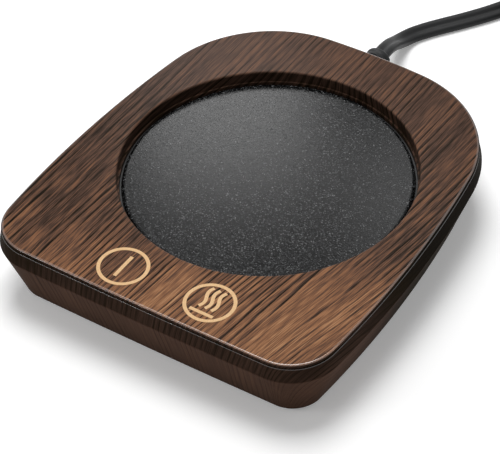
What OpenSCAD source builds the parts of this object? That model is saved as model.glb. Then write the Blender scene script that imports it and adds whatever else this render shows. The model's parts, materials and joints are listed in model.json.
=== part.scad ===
// Electric mug warmer: a moulded two-part case with a hot plate sunk in a round well, two touch keys
// in front of it, and a flat twin mains lead that leaves at the back.
// Millimetres. Z is up and the feet stand on Z = 0. The keys are towards -Y, the lead leaves towards +Y.

/* [Case] */
// Width of the case at its parting edge
body_w = 127; // [110:1:160]
// Depth of the case, front to back, at its parting edge
body_d = 143; // [138:1:180]
// Height of the top face above the table
case_h = 26.5; // [26:0.1:34]
// Height of the cover's outer band, from the parting edge to the top face
cover_h = 6.5; // [5:0.1:8]
// Corner radius at the front
front_r = 17; // [10:0.5:24]
// Corner radius at the back
back_r = 44; // [30:0.5:54]
// Radius of the slight outward bow of the two sides
side_bow_r = 400; // [300:10:900]
// Depth at which the sides are widest, measured from the middle
side_bow_y = -27; // [-40:1:0]
// Radius of the slight outward bow of the back edge
back_bow_r = 300; // [200:10:900]
// Radius of the slight outward bow of the front edge
front_bow_r = 3000; // [900:100:5000]
// How far the base is drawn in from the parting edge
base_inset = 6.9; // [3:0.1:9]
// How far the cover's band leans in up to its top edge
band_inset = 0.9; // [0:0.1:1.5]
// Rounding of the cover's top edge
top_edge_r = 0.9; // [0.5:0.1:1]
// Height of the fine groove under that edge
edge_groove_h = 0.7; // [0.4:0.1:0.8]
// Depth of that groove
edge_groove_d = 0.5; // [0.3:0.1:0.6]
// Rounding of the housing's bottom edge
base_edge_r = 1; // [0.5:0.1:1.5]
// Bevel of both parting edges, which leaves a fine groove between them
seam_bevel = 0.25; // [0.1:0.05:0.5]
// Thickness of the moulded side walls
wall = 2.2; // [1.8:0.05:2.8]
// Thickness of the cover's top face
top_t = 2.2; // [1.8:0.1:2.8]
// Thickness of the housing's floor
floor_t = 2.2; // [1.8:0.1:3]
// Height by which the housing's tongue stands up inside the cover
tongue_h = 2.3; // [1.5:0.1:3]
// Thickness of the tongue
tongue_t = 1.2; // [1:0.1:1.6]
// Thickness of the stiffening ribs
rib_t = 1.2; // [0.8:0.1:1.6]

/* [Well and hot plate] */
// Diameter of the round well
well_d = 98.5; // [80:0.5:99]
// Depth of the well, from the top face to the hot plate
well_depth = 4; // [3:0.1:5]
// Distance of the well's centre behind the middle of the case
well_y = 2.75; // [0:0.25:3]
// Rounding of the well's rim
well_rim_r = 0.7; // [0.4:0.1:1]
// Step by which the well narrows below the hot plate's top
well_step = 0.6; // [0.5:0.1:0.8]
// Thickness of the sleeve around the well
sleeve_t = 2; // [1.6:0.1:2.4]
// Gap all round between the hot plate and the well
plate_gap = 1.25; // [1:0.05:1.6]
// Thickness of the hot plate at its edge
plate_t = 2.1; // [1.8:0.1:2.6]
// Rounding of the hot plate's top edge
plate_edge_r = 1.3; // [0.6:0.1:1.6]
// How much thicker the hot plate is over the heater
plate_core_t = 1; // [0.6:0.1:1.4]
// Thickness of the silicone seal under the hot plate
seal_t = 0.8; // [0.6:0.1:1.2]
// Width of the ledge that carries the seal
ledge_w = 3.2; // [2.8:0.1:4]
// Thickness of the ledge
ledge_t = 3.2; // [2.4:0.1:3.8]
// Thickness of the heater film
film_t = 0.6; // [0.4:0.1:0.8]
// Thickness of the stamped clamp plate
clamp_t = 0.8; // [0.6:0.1:1.2]
// Diameter of the circle on which the clamp screws stand
clamp_pcd = 62; // [50:1:68]
// Diameter of the thermal fuse
fuse_d = 4; // [3:0.2:5]
// Diameter of the bead thermistor
thermistor_d = 3.2; // [2.4:0.2:4]

/* [Keys and board] */
// Distance between the two touch keys
key_pitch = 32.2; // [26:0.2:40]
// Sideways place of the middle between the keys
key_x = 2.1; // [-4:0.1:4]
// Distance of the power key behind the front edge
key_y = 12.7; // [11.5:0.1:15]
// How much farther back the heat key stands
heat_key_back = 0.7; // [0:0.1:1]
// Outer diameter of the ring printed round each key
key_ring_d = 17; // [14:0.5:20]
// Width of the printed lines
key_line = 1.2; // [0.8:0.1:1.4]
// Length of the signs printed in the keys
sign_l = 9.8; // [8:0.1:10.5]
// Distance between the three waves of the heat sign
wave_pitch = 2.3; // [2.1:0.1:2.5]
// Thickness of the printed lines
key_print_t = 0.06; // [0.04:0.01:0.1]
// Distance of the board's ends inside the sides of the case
board_side = 17.5; // [16:0.5:22]
// Distance of the board's front edge behind the front edge of the case
board_front = 5.5; // [5:0.1:7]
// Distance between the board's rear edge and the sleeve of the well
board_rear = 2; // [1:0.1:3]
// Thickness of the control board
board_t = 1.6; // [1.2:0.1:1.6]
// Height of the touch springs, from the board to the cover
spring_h = 7.7; // [7:0.1:9.5]
// Outer diameter of the touch springs
spring_d = 8; // [6.5:0.5:10]
// Wire of the touch springs
spring_wire = 0.8; // [0.6:0.1:1]

/* [Fasteners and feet] */
// Diameter of the screws' shanks
screw_d = 2.8; // [2.3:0.1:3.4]
// Diameter of the screws' heads
head_d = 5.2; // [4.4:0.1:6]
// Height of the screws' heads
head_h = 1.8; // [1.4:0.1:2.2]
// Diameter of the cover's screw bosses
boss_d = 7.4; // [6.2:0.1:8.8]
// Height at which the cover's bosses stand on the housing's posts
boss_z = 12; // [10:0.5:14]
// Distance of the front case screws inside the side of the case
screw_side = 14.5; // [13:0.5:17]
// Distance of the front case screws behind the front edge
screw_front = 32; // [28:1:38]
// Diameter of the rubber feet
foot_d = 12; // [10:0.5:14.5]
// How far the feet stand out under the base
foot_h = 1.2; // [0.8:0.1:2]
// How deep the feet sit in the base
foot_seat = 1; // [0.6:0.1:1.2]

/* [Lead and plug] */
// Sideways place of the lead's exit
cord_x = -8; // [-14:0.5:14]
// Height of the lead's exit
cord_z = 12; // [11.5:0.5:12.5]
// Width of the flat twin lead
cord_w = 6; // [5:0.1:7.2]
// Thickness of the flat twin lead
cord_t = 3.1; // [2.6:0.1:3.7]
// Depth of the groove between the lead's two cores
cord_groove = 0.45; // [0.2:0.05:0.6]
// Length of the strain relief outside the case
relief_l = 16.5; // [13.5:0.5:20]
// Diameter of the strain relief's neck in the wall
neck_d = 9; // [7.5:0.1:9.6]
// Diameter of the strain relief's shoulder against the wall
shoulder_d = 12; // [10.5:0.1:12.8]
// Diameter of the strain relief's flange inside the wall
flange_d = 12.4; // [11:0.1:13.4]
// Middle radius of the coiled lead
coil_r = 31.3; // [30:0.1:34]
// Turns that lie side by side in the coil
coil_beside = 3; // [2:1:4]
// Layers of turns in the coil
coil_layers = 2; // [1:1:2]
// Length of the plug's moulded body
plug_l = 28; // [24:1:34]
// Distance between the plug's blades
blade_pitch = 12.7; // [12.5:0.1:12.9]
// Length of the plug's blades
blade_l = 17; // [15:0.5:18]
// Width of the plug's blades
blade_w = 6.35; // [6:0.05:6.6]
// Thickness of the plug's blades
blade_t = 1.5; // [1.4:0.05:1.6]

/* [Clearances] */
// Gap between the housing's tongue and the cover
tongue_gap = 0.15; // [0.1:0.05:0.3]
// Radial gap round screw shanks, necks and shoulders in their holes
hole_gap = 0.2; // [0.1:0.05:0.3]
// Radial gap round seated discs, feet and flanges
seat_gap = 0.2; // [0.1:0.05:0.3]
// Gap between a piece and the part that it stands beside
side_gap = 0.3; // [0.2:0.05:0.4]

/* [Hidden] */
$fn = 72;
EPS = 0.01;

// Heights, from the table up and from the top face down
base_z = foot_h;
floor_z = base_z + floor_t;
parting_z = case_h - cover_h;
under_z = case_h - top_t;
plate_z = case_h - well_depth;
rim_under_z = plate_z - plate_t;
core_under_z = rim_under_z - plate_core_t;
film_z = core_under_z - film_t;
ledge_z = rim_under_z - seal_t;
clamp_z = ledge_z - ledge_t;
clamp_under_z = clamp_z - clamp_t;
board_z = under_z - spring_h - board_t;

// Radii round the well's axis
well_r = well_d / 2;
plate_r = well_r - plate_gap;
seal_out_r = well_r - well_step - 0.1;
ledge_r = well_r - ledge_w;
pad_r = ledge_r - seat_gap;
core_r = pad_r - 0.8;
clamp_r = well_r - 0.6;
stud_r = screw_d / 2 + 1.6;
heater_lead = [9, 4.5 - core_r];

// Plan outline: four bowed edges and four corners, each tangent to the next
front_c = [0, front_bow_r - body_d / 2];
back_c = [0, body_d / 2 - back_bow_r];
side_c = [body_w / 2 - side_bow_r, side_bow_y];
front_corner = meet(front_c, front_bow_r - front_r, side_c, side_bow_r - front_r, 1);
back_corner = meet(back_c, back_bow_r - back_r, side_c, side_bow_r - back_r, -1);

// Right-hand screws and feet; the left-hand ones mirror them
screws = [
    [body_w / 2 - screw_side, screw_front - body_d / 2],
    back_corner + (back_r - 16.4) * dir(43)
];
feet = [
    [body_w / 2 - base_inset - foot_d / 2 - 5, base_inset + foot_d / 2 + 6 - body_d / 2],
    back_corner + (back_r - base_inset - foot_d / 2 - 3.5) * dir(62)
];
screw_hole_d = screw_d + 2 * hole_gap;
screw_grip = 4.8;
tongue_in = wall + tongue_gap + tongue_t;

// Control board and what stands on it
power_at = [key_x - key_pitch / 2, key_y - body_d / 2];
heat_at = [key_x + key_pitch / 2, key_y + heat_key_back - body_d / 2];
keys = [power_at, heat_at];
board_l = body_w - 2 * board_side;
board_y0 = board_front - body_d / 2;
board_y1 = well_y - well_r - sleeve_t - board_rear;
board_left = -board_l / 2;
board_posts = [for (s = [-1, 1]) [s * (board_l / 2 - 4), (board_y0 + board_y1) / 2]];
parts_y = board_y0 + 4;
terminal_size = [6, 4, 5];
terminal_x = [board_left + 14, 2, 14];
terminal_y = board_y1 - terminal_size[1] - 0.1;
wire_pair = 1.5;
wire_end_y = board_y1 - 0.1;
wire_end_z = board_z - terminal_size[2] / 2;

// Back wall where the lead passes, and the clamp behind it
pad_face_y = body_d / 2 - 2;
pad_in_y = pad_face_y - 3.4;
pad_d = flange_d + 3.2;
flange_t = 2;
clamp_size = [22, 7, 5];
clamp_y = pad_in_y - 8.6;
clamp_seat_z = cord_z - cord_t / 2;
clamp_bar_z = clamp_seat_z + side_gap;
clamp_hole_x = 7.5;

// Thermal fuse, held behind the middle of the clamp plate
fuse_l = 12;
fuse_lead = 2;
fuse_at = [0, well_y + 16, clamp_under_z - 0.1 - fuse_d / 2];

// Lead: points chosen by hand from the strain relief to the coil and from the coil to the plug,
// and how far each section is rolled from lying flat
cord_pts = [
    [-8, 86, 12], [-8.6, 91, 11.2], [-9.6, 96.5, 8.9], [-10.6, 102, 5.7], [-11, 107, 3.4], [-10, 112, 2.4],
    [-7.2, 117, 2.2], [-3.6, 122, 2.2], [0.2, 127, 2.2], [3.8, 132, 2.2], [7.2, 137, 2.25], [10.6, 142.4, 2.4],
    [14.2, 148.4, 2.7], [17.8, 154.4, 3], [21.4, 160.4, 3.3], [26.4, 168.7, 3.6]
];
cord_roll = [0, -3, -10, -16, -20, -23, -24, -24, -24, -25, -27, -33, -46, -63, -80, -90];
tail_pts = [
    [90.4, 151, 9.8], [90.4, 145, 9.6], [90.3, 139, 8.9], [90.1, 133, 7.8], [90, 127, 6.9], [90, 121, 6.6]
];
tail_roll = [-90, -82, -60, -34, -12, 0];
plug_at = [90, 121, 6.6];
coil_at = [56, 151, 0.5];
coil_w = coil_beside * cord_t;
coil_h = coil_layers * (cord_w + 0.1);

function dir(a) = [cos(a), sin(a)];

function unit(v) = v / norm(v);

function heading(a, b) = atan2(b[1] - a[1], b[0] - a[0]);

// Point where two circles meet, to the left of the way from one centre to the other, or to the right
function meet(c0, r0, c1, r1, left) =
    let (d = norm(c1 - c0), u = (c1 - c0) / d, a = (r0 * r0 - r1 * r1 + d * d) / (2 * d))
    c0 + a * u + left * sqrt(r0 * r0 - a * a) * [-u[1], u[0]];

// A number of points along an arc; the arc that follows begins with its end point
function arc(c, r, from, to, n) = [for (i = [0:n - 1]) c + r * dir(from + (to - from) * i / n)];

// Right half of the plan outline, grown outwards, from the middle of the front to the middle of the back
function half_outline(grow) =
    let (
        a = heading(front_c, front_corner), b = heading(side_c, front_corner),
        c = heading(side_c, back_corner), d = heading(back_c, back_corner)
    )
    concat(
        arc(front_c, front_bow_r + grow, -90, a, 2),
        arc(front_corner, front_r + grow, a, b, 10),
        arc(side_c, side_bow_r + grow, b, c, 6),
        arc(back_corner, back_r + grow, c, d, 14),
        arc(back_c, back_bow_r + grow, d, 90, 3),
        [back_c + [0, back_bow_r + grow]]
    );

function outline(grow) =
    let (h = half_outline(grow))
    concat(h, [for (i = [len(h) - 2:-1:1]) [-h[i][0], h[i][1]]]);

// Outline of a printed line through points
function band(pts) =
    let (
        n = len(pts) - 1,
        half = [for (i = [0:n])
            let (d = unit(pts[min(i + 1, n)] - pts[max(i - 1, 0)])) key_line / 2 * [-d[1], d[0]]]
    )
    concat([for (i = [0:n]) pts[i] + half[i]], [for (i = [n:-1:0]) pts[i] - half[i]]);

// Outline drawn in by an inset, at a height
function ring_at(inset, z) = [for (p = outline(-inset)) [p[0], p[1], z]];

// Inset of the housing's outside at a height below the parting edge
function taper(z) = base_inset * (parting_z - z) / (parting_z - base_z);

// Oval section with half axes a and b
function oval(a, b, sides) = [for (k = [0:sides - 1]) [a * cos(360 * k / sides), -b * sin(360 * k / sides)]];

// Section of the flat twin lead: two round cores with a groove between them on each flat side
function twin_section() =
    let (core_r = cord_t / 2, core_x = (cord_w - cord_t) / 2, sides = 16)
    [for (k = [0:sides - 1])
        let (
            x = cord_w / 2 * cos(360 * k / sides),
            h = sqrt(max(0, pow(core_r, 2) - pow(max(0, abs(x) - core_x), 2)))
        )
        [x, -sign(sin(360 * k / sides)) * (h - (k % (sides / 2) == sides / 4 ? cord_groove : 0))]];

// Sections along a path, each rolled about the path; "up" is above the path
function tube_rings(pts, section, roll, up) = [
    for (i = [0:len(pts) - 1])
        let (
            t = unit(pts[min(i + 1, len(pts) - 1)] - pts[max(i - 1, 0)]),
            s = unit(cross(t, up)), n = cross(s, t), r = is_list(roll) ? roll[i] : roll
        )
        [for (q = section)
            pts[i] + (q[0] * cos(r) - q[1] * sin(r)) * s + (q[0] * sin(r) + q[1] * cos(r)) * n]
];

// Closed solid through rings of equal length, each anticlockwise as seen from the last ring's side
module loft(rings) {
    n = len(rings[0]);
    last = (len(rings) - 1) * n;
    polyhedron(
        points = [for (r = rings) each r],
        faces = concat(
            [[for (i = [0:n - 1]) i]],
            [for (k = [0:len(rings) - 2], i = [0:n - 1])
                let (j = (i + 1) % n, a = k * n, b = a + n)
                each [[a + i, b + i, b + j], [a + i, b + j, a + j]]],
            [[for (i = [n - 1:-1:0]) last + i]]
        )
    );
}

module tube(pts, section, roll = 0, up = [0, 0, 1]) {
    loft(tube_rings(pts, section, roll, up));
}

module wire(pts, r) {
    tube(pts, oval(r, r, 8), up = [0.02, 0.1, 1]);
}

module at_well(z) {
    translate([0, well_y, z]) children();
}

// Children once on the right and once on the left
module both_sides() {
    children();
    mirror([1, 0, 0]) children();
}

// Upright cylinder at a place in plan, from height z0 to z1
module post(at, z0, z1, d) {
    translate([at[0], at[1], z0]) cylinder(h = z1 - z0, d = d);
}

// Cylinder on the lead's axis in the back wall, from y0 to y1
module along_exit(y0, y1, d) {
    translate([cord_x, y0, cord_z]) rotate([-90, 0, 0]) cylinder(h = y1 - y0, d = d);
}

// Disc with a rounded top edge
module rounded_disc(r, h, edge) {
    rotate_extrude() {
        square([r - edge, h]);
        square([r, h - edge]);
        translate([r - edge, h - edge]) intersection() {
            circle(edge);
            square(edge);
        }
    }
}

// Cross-head screw whose head lies under a height and whose shank rises above it
module screw(at, z, shank) {
    translate([at[0], at[1], z - head_h]) difference() {
        union() {
            cylinder(h = head_h, d = head_d);
            cylinder(h = head_h + shank, d = screw_d);
        }
        for (a = [0, 90]) rotate(a) translate([-1.4, -0.3, -EPS]) cube([2.8, 0.6, 0.9]);
    }
}

// The same screw driven from above
module screw_down(at, z, shank) {
    translate([0, 0, 2 * z]) mirror([0, 0, 1]) screw(at, z, shank);
}

module clamp_points() {
    for (a = [45:90:315]) rotate(a) translate([clamp_pcd / 2, 0, 0]) children();
}

// Plate with the case's plan outline, drawn in by an inset, from height z0 to z1
module plan(inset, z0, z1) {
    translate([0, 0, z0]) linear_extrude(z1 - z0) polygon(outline(-inset));
}

// Outside of the lower housing, closed: a rounded bottom edge, a taper and a bevelled parting edge
module housing_outside() {
    bend = base_z + base_edge_r;
    edge = [for (a = [90:-22.5:0]) [taper(bend) + base_edge_r * (1 - cos(a)), bend - base_edge_r * sin(a)]];
    top = [[taper(parting_z - seam_bevel), parting_z - seam_bevel], [seam_bevel, parting_z]];
    loft([for (p = concat(edge, top)) ring_at(p[0], p[1])]);
}

// Inside of the lower housing, parallel to its outside
module housing_inside() {
    loft([ring_at(taper(floor_z) + wall, floor_z), ring_at(wall, parting_z), ring_at(wall, parting_z + 1)]);
}

// Room for the strain relief's neck, open upwards so that the relief drops in
module cord_slot(room, y0, y1) {
    w = neck_d + 2 * room;
    along_exit(y0, y1, w);
    translate([cord_x - w / 2, y0, cord_z]) cube([w, y1 - y0, body_d]);
}

module top_cover() {
    lip = 0.2;
    edge_z = case_h - top_edge_r;
    lip_z = edge_z - edge_groove_h;
    groove_in = band_inset + edge_groove_d;
    band = [[seam_bevel, parting_z], [0, parting_z + seam_bevel], [band_inset, lip_z - lip]];
    groove = [[band_inset + lip, lip_z], [groove_in, lip_z], [groove_in, edge_z], [band_inset, edge_z]];
    edge = [for (a = [18:18:90]) [band_inset + top_edge_r * (1 - cos(a)), edge_z + top_edge_r * sin(a)]];
    color("saddlebrown") difference() {
        union() {
            difference() {
                loft([for (p = concat(band, groove, edge)) ring_at(p[0], p[1])]);
                plan(wall, parting_z - 1, under_z);
            }
            at_well(clamp_z) cylinder(h = under_z + EPS - clamp_z, r = well_r + sleeve_t);
            both_sides() for (p = screws) post(p, boss_z, under_z + EPS, boss_d);
            cover_ribs();
            slot_tab();
        }
        at_well(plate_z) cylinder(h = case_h, r = well_r);
        at_well(ledge_z) cylinder(h = case_h, r = well_r - well_step);
        at_well(clamp_z - 1) cylinder(h = ledge_t + 2, r = ledge_r);
        at_well(case_h - well_rim_r) rim_rounding();
        both_sides() for (p = screws) post(p, boss_z - 1, boss_z + 8, screw_hole_d);
    }
}

// What the well's rounded rim takes away
module rim_rounding() {
    rotate_extrude() difference() {
        translate([well_r - well_rim_r, 0]) square([2 * well_rim_r, well_rim_r + 1]);
        translate([well_r + well_rim_r, 0]) circle(well_rim_r);
    }
}

// Ribs under the cover that tie the well's sleeve to the outer wall, clear of the housing's tongue
module cover_ribs() {
    rib_h = 3;
    difference() {
        intersection() {
            plan(wall - EPS, under_z - rib_h, under_z + EPS);
            at_well(0) for (a = [8, 62, 118, 172, 212, 328]) rotate(a) translate([0, -rib_t / 2, 0])
                cube([body_d, rib_t, case_h]);
        }
        at_well(0) cylinder(h = case_h, r = well_r + sleeve_t / 2);
        difference() {
            plan(0, parting_z, parting_z + tongue_h + side_gap);
            plan(tongue_in + side_gap, parting_z - 1, case_h);
        }
    }
}

// Tab of the cover that closes the housing's slot above the strain relief's neck
module slot_tab() {
    difference() {
        intersection() {
            housing_outside();
            cord_slot(-side_gap, pad_in_y, body_d);
        }
        along_exit(0, body_d, neck_d + 2 * hole_gap);
        along_exit(pad_face_y, body_d, shoulder_d + 2 * hole_gap);
        translate([cord_x - neck_d, 0, 0]) cube([2 * neck_d, body_d, cord_z]);
    }
    intersection() {
        plan(wall - EPS, parting_z - EPS, under_z + EPS);
        translate([cord_x - neck_d / 2 + side_gap, pad_in_y, parting_z - EPS])
            cube([neck_d - 2 * side_gap, body_d, case_h]);
    }
}

module bottom_housing() {
    color("#3a2c22") difference() {
        union() {
            difference() {
                housing_outside();
                housing_inside();
            }
            tongue();
            both_sides() for (p = screws) post(p, base_z + EPS, boss_z, boss_d + 0.6);
            for (p = board_posts) post(p, base_z + EPS, board_z, screw_d + 2.8);
            floor_ribs();
            along_exit(pad_in_y, pad_face_y, pad_d);
            translate([cord_x - clamp_size[0] / 2, clamp_y - clamp_size[1] / 2, base_z + EPS])
                cube([clamp_size[0], clamp_size[1], clamp_seat_z - base_z - EPS]);
        }
        both_sides() for (p = screws) {
            post(p, 0, boss_z - screw_grip, head_d + 1);
            post(p, 0, boss_z + 1, screw_hole_d);
        }
        for (p = board_posts) post(p, board_z - 7, board_z + 1, screw_hole_d);
        both_sides() for (p = feet) post(p, 0, base_z + foot_seat, foot_d + 2 * seat_gap);
        along_exit(clamp_y, pad_in_y, flange_d + 2 * seat_gap);
        along_exit(pad_face_y, body_d, shoulder_d + 2 * hole_gap);
        cord_slot(hole_gap, pad_in_y - 1, body_d);
        for (s = [-1, 1]) post([cord_x + s * clamp_hole_x, clamp_y], cord_z - 9, cord_z + 3, screw_hole_d);
    }
}

// Tongue that stands up inside the cover, with its foot merged into the housing's wall
module tongue() {
    foot = 4;
    difference() {
        plan(wall + tongue_gap, parting_z - foot, parting_z + tongue_h);
        plan(tongue_in, parting_z - foot - 1, case_h);
    }
}

// Low ribs that stiffen the floor under the hot plate
module floor_ribs() {
    rib_h = floor_t + 2.4;
    ring_r = 34;
    at_well(base_z + EPS) {
        for (a = [0, 60, 120]) rotate(a) translate([-ring_r, -rib_t / 2, 0]) cube([2 * ring_r, rib_t, rib_h]);
        difference() {
            cylinder(h = rib_h, r = ring_r);
            translate([0, 0, -1]) cylinder(h = rib_h + 2, r = ring_r - rib_t);
        }
    }
}

// Sign printed on the cover round a place, with the children inside its ring
module printed_key(at) {
    color("gold") translate([at[0], at[1], case_h]) linear_extrude(key_print_t) {
        difference() {
            circle(d = key_ring_d);
            circle(d = key_ring_d - 2 * key_line);
        }
        children();
    }
}

module power_key() {
    printed_key(power_at) square([key_line, sign_l], center = true);
}

// Three waves that rise from a bar
module heat_key() {
    steps = 18;
    bar_l = sign_l - key_line;
    wave_l = sign_l - 1;
    sway = 0.65;
    printed_key(heat_at) {
        translate([0, -sign_l / 2]) square([bar_l, key_line], center = true);
        for (s = [-1:1]) translate([s * wave_pitch, 1.6])
            polygon(band([for (i = [0:steps]) [-sway * sin(360 * i / steps), wave_l * (0.5 - i / steps)]]));
    }
}

module hot_plate() {
    color("#4a4c4e") at_well(0) difference() {
        union() {
            translate([0, 0, rim_under_z]) rounded_disc(plate_r, plate_t, plate_edge_r);
            translate([0, 0, core_under_z]) cylinder(h = plate_core_t + EPS, r = core_r);
            clamp_points() translate([0, 0, clamp_z]) cylinder(h = core_under_z - clamp_z + EPS, r = stud_r);
        }
        clamp_points() translate([0, 0, clamp_z - 1])
            cylinder(h = core_under_z - clamp_z + 1.6, d = screw_hole_d);
    }
}

// Silicone seal with a lip between the hot plate's edge and the well
module plate_seal() {
    lip = 0.7;
    lip_in_r = plate_r + 0.05;
    color("#1b1b1b") at_well(ledge_z) rotate_extrude() {
        translate([ledge_r + seat_gap, 0]) square([seal_out_r - ledge_r - seat_gap, seal_t]);
        translate([lip_in_r, 0]) square([seal_out_r - lip_in_r, seal_t + lip]);
    }
}

// Holes for the plate's studs, the thermistor and the heater's two leads, through a disc above height 0
module disc_holes(t, stud_room, bead_room) {
    clamp_points() translate([0, 0, -1]) cylinder(h = t + 2, r = stud_room);
    translate([0, 0, -1]) cylinder(h = t + 2, r = thermistor_d / 2 + bead_room);
    for (s = [-1, 1]) translate([s * heater_lead[0] - 2, heater_lead[1] - 2.5, -1]) cube([4, 5, t + 2]);
}

module heater_film() {
    color("#b87333") at_well(film_z) difference() {
        cylinder(h = film_t, r = core_r - 0.6);
        clamp_points() translate([0, 0, -1]) cylinder(h = film_t + 2, r = stud_r + seat_gap);
        translate([0, 0, -1]) cylinder(h = film_t + 2, r = thermistor_d / 2 + 2);
    }
}

module insulation_pad() {
    t = film_z - clamp_z;
    color("whitesmoke") at_well(clamp_z) difference() {
        cylinder(h = t, r = pad_r);
        disc_holes(t, stud_r + seat_gap, 2);
    }
}

module clamp_plate() {
    color("silver") at_well(clamp_under_z) difference() {
        cylinder(h = clamp_t, r = clamp_r);
        disc_holes(clamp_t, screw_hole_d / 2, 0.4);
        for (a = [0:90:270]) rotate(a) translate([26, -7, -1]) cube([3, 14, clamp_t + 2]);
    }
}

module clamp_screws() {
    color("gainsboro") at_well(0) clamp_points() screw([0, 0], clamp_under_z, core_under_z - clamp_under_z);
}

// Bead thermistor that touches the underside of the hot plate
module thermistor() {
    color("darkorange") at_well(clamp_under_z - 2)
        cylinder(h = core_under_z - clamp_under_z + 2 - 0.05, d = thermistor_d);
}

// Spring clip under the clamp plate, with a collar round the thermistor
module thermistor_clip() {
    color("silver") at_well(clamp_under_z) difference() {
        union() {
            translate([0, 0, -1.6]) cylinder(h = 1.6, d = thermistor_d + 2);
            translate([-8, -2, -0.6]) cube([7, 4, 0.6]);
        }
        translate([0, 0, -2]) cylinder(h = 3, d = thermistor_d + 0.1);
    }
}

module thermal_fuse() {
    color("ivory") translate(fuse_at) rotate([0, 90, 0]) {
        cylinder(h = fuse_l, d = fuse_d, center = true);
        cylinder(h = fuse_l + 2 * fuse_lead, d = 1, center = true);
    }
}

// Strap round the fuse with a foot on each side against the clamp plate
module fuse_clip() {
    strap_t = 0.6;
    strap_w = 5;
    foot_l = 14;
    in_d = fuse_d + 0.2;
    color("silver") translate(fuse_at) rotate([90, 0, 90]) translate([0, 0, -strap_w / 2])
        linear_extrude(strap_w) difference() {
            union() {
                circle(d = in_d + 2 * strap_t);
                translate([-in_d / 2 - strap_t, 0]) square([in_d + 2 * strap_t, in_d / 2]);
                translate([-foot_l / 2, in_d / 2 - strap_t]) square([foot_l, strap_t]);
            }
            circle(d = in_d);
            translate([-in_d / 2, 0]) square([in_d, in_d]);
            translate([-foot_l, in_d / 2]) square([2 * foot_l, in_d]);
        }
}

// Board with room for its own screws and for the cover's bosses
module control_board() {
    over = board_z + board_t + 1;
    color("darkgreen") difference() {
        translate([board_left, board_y0, board_z]) cube([board_l, board_y1 - board_y0, board_t]);
        for (p = board_posts) post(p, board_z - 1, over, screw_hole_d);
        both_sides() for (p = screws) post(p, board_z - 1, over, boss_d + 2 * side_gap);
    }
}

module board_screws() {
    color("gainsboro") for (p = board_posts) screw_down(p, board_z + board_t, 6);
}

module film_capacitor() {
    color("gold") translate([board_left + 14, parts_y, board_z - 9]) cube([13, 7, 9]);
}

module bulk_capacitor() {
    r = 4.6;
    color("#20304a") translate([board_left + 32, parts_y + r - 1.5, board_z - r]) rotate([0, 90, 0])
        rounded_disc(r, 13, 0.8);
}

module triac() {
    color("#222222") translate([-board_left - 22, parts_y - 0.6, board_z - 9]) cube([10, 3, 9]);
}

module heat_sink() {
    color("silver") translate([-board_left - 25, parts_y + 2.4, board_z - 10]) {
        cube([16, 1.4, 10]);
        for (i = [0:5]) translate([i * 3, 1.3, 0]) cube([1, 3.2, 8]);
    }
}

module controller_chip() {
    color("#1a1a1a") translate([board_left + 54, board_y1 - 4.6, board_z + board_t]) cube([7, 4, 1.4]);
}

module wire_terminals() {
    color("white") for (x = terminal_x)
        translate([x - terminal_size[0] / 2, terminal_y, board_z - terminal_size[2]]) cube(terminal_size);
}

// Helical touch spring from the board up to the cover, behind each key
module touch_springs() {
    turns = 5;
    steps = 12;
    r = (spring_d - spring_wire) / 2;
    z0 = board_z + board_t + spring_wire / 2;
    rise = (spring_h - spring_wire) / (turns * steps);
    color("goldenrod") for (k = keys)
        wire([for (i = [0:turns * steps]) [each k + r * dir(360 * i / steps), z0 + rise * i]], spring_wire / 2);
}

module indicator_lights() {
    color("lightyellow") for (k = keys) translate([k[0] - 1, k[1] - 1, board_z + board_t]) cube([2, 2, 1]);
}

// Inner end of the flat lead and its two cores to the board, the live one by way of the thermal fuse
module mains_wires() {
    z = floor_z + 3.8;
    x = terminal_x[0];
    y = clamp_y - 5;
    fuse_end = fuse_l / 2 + fuse_lead;
    at_board = [[wire_end_y + 12, z + 1], [wire_end_y + 2, wire_end_z], [wire_end_y, wire_end_z]];
    color("#303030") {
        tube([[cord_x, pad_in_y - flange_t, cord_z], [cord_x, y, cord_z]], twin_section());
        wire(concat([
            [cord_x - wire_pair, y, cord_z], [cord_x - wire_pair, y - 4, cord_z - 1],
            [cord_x - 3, y - 10, cord_z - 4], [cord_x - 6, y - 18, z], [x + 14, 10, z], [x + 6, -20, z]
        ], [for (p = at_board) [x - wire_pair, each p]]), 1.1);
        wire(concat([
            [cord_x + wire_pair, y, cord_z], [cord_x + wire_pair, y - 4, cord_z - 1], [0, y - 10, z + 3],
            [8, y - 18, z + 2]
        ], [for (p = [[5, 6, -4], [4.5, 1, -1.4], [2, 0, 0], [0, 0, 0]]) fuse_at + p + [fuse_end, 0, 0]]), 1.1);
        wire(concat(
            [for (p = [[0, 0, 0], [-2, 0, 0], [-4.5, -2, -1.4], [-6, -7, -4]]) fuse_at + p - [fuse_end, 0, 0]],
            [[x + 16, 0, z + 0.6], [x + 11, -20, z]],
            [for (p = at_board) [x + wire_pair, each p]]
        ), 1.1);
    }
}

// Leads of the heater film, which come down through the pad and the clamp plate
module heater_wires() {
    x = heater_lead[0];
    y = well_y + heater_lead[1];
    x_end = terminal_x[2];
    color("whitesmoke") {
        wire([
            [x, y, film_z - 0.05], [x, y, clamp_z - 1], [x + 0.4, y - 0.8, clamp_z - 3.6],
            [x + 3, y - 4, wire_end_z - 1], [x_end + wire_pair, wire_end_y + 2, wire_end_z],
            [x_end + wire_pair, wire_end_y, wire_end_z]
        ], 0.9);
        wire([
            [-x, y, film_z - 0.05], [-x, y, clamp_z - 1], [-8.4, y - 0.8, clamp_z - 4],
            [-5, y - 2.8, clamp_z - 6.8], [3, y - 5.8, clamp_z - 7.2], [9, y - 8.6, clamp_z - 6],
            [x_end - wire_pair, wire_end_y + 1.6, wire_end_z], [x_end - wire_pair, wire_end_y, wire_end_z]
        ], 0.9);
    }
}

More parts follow.
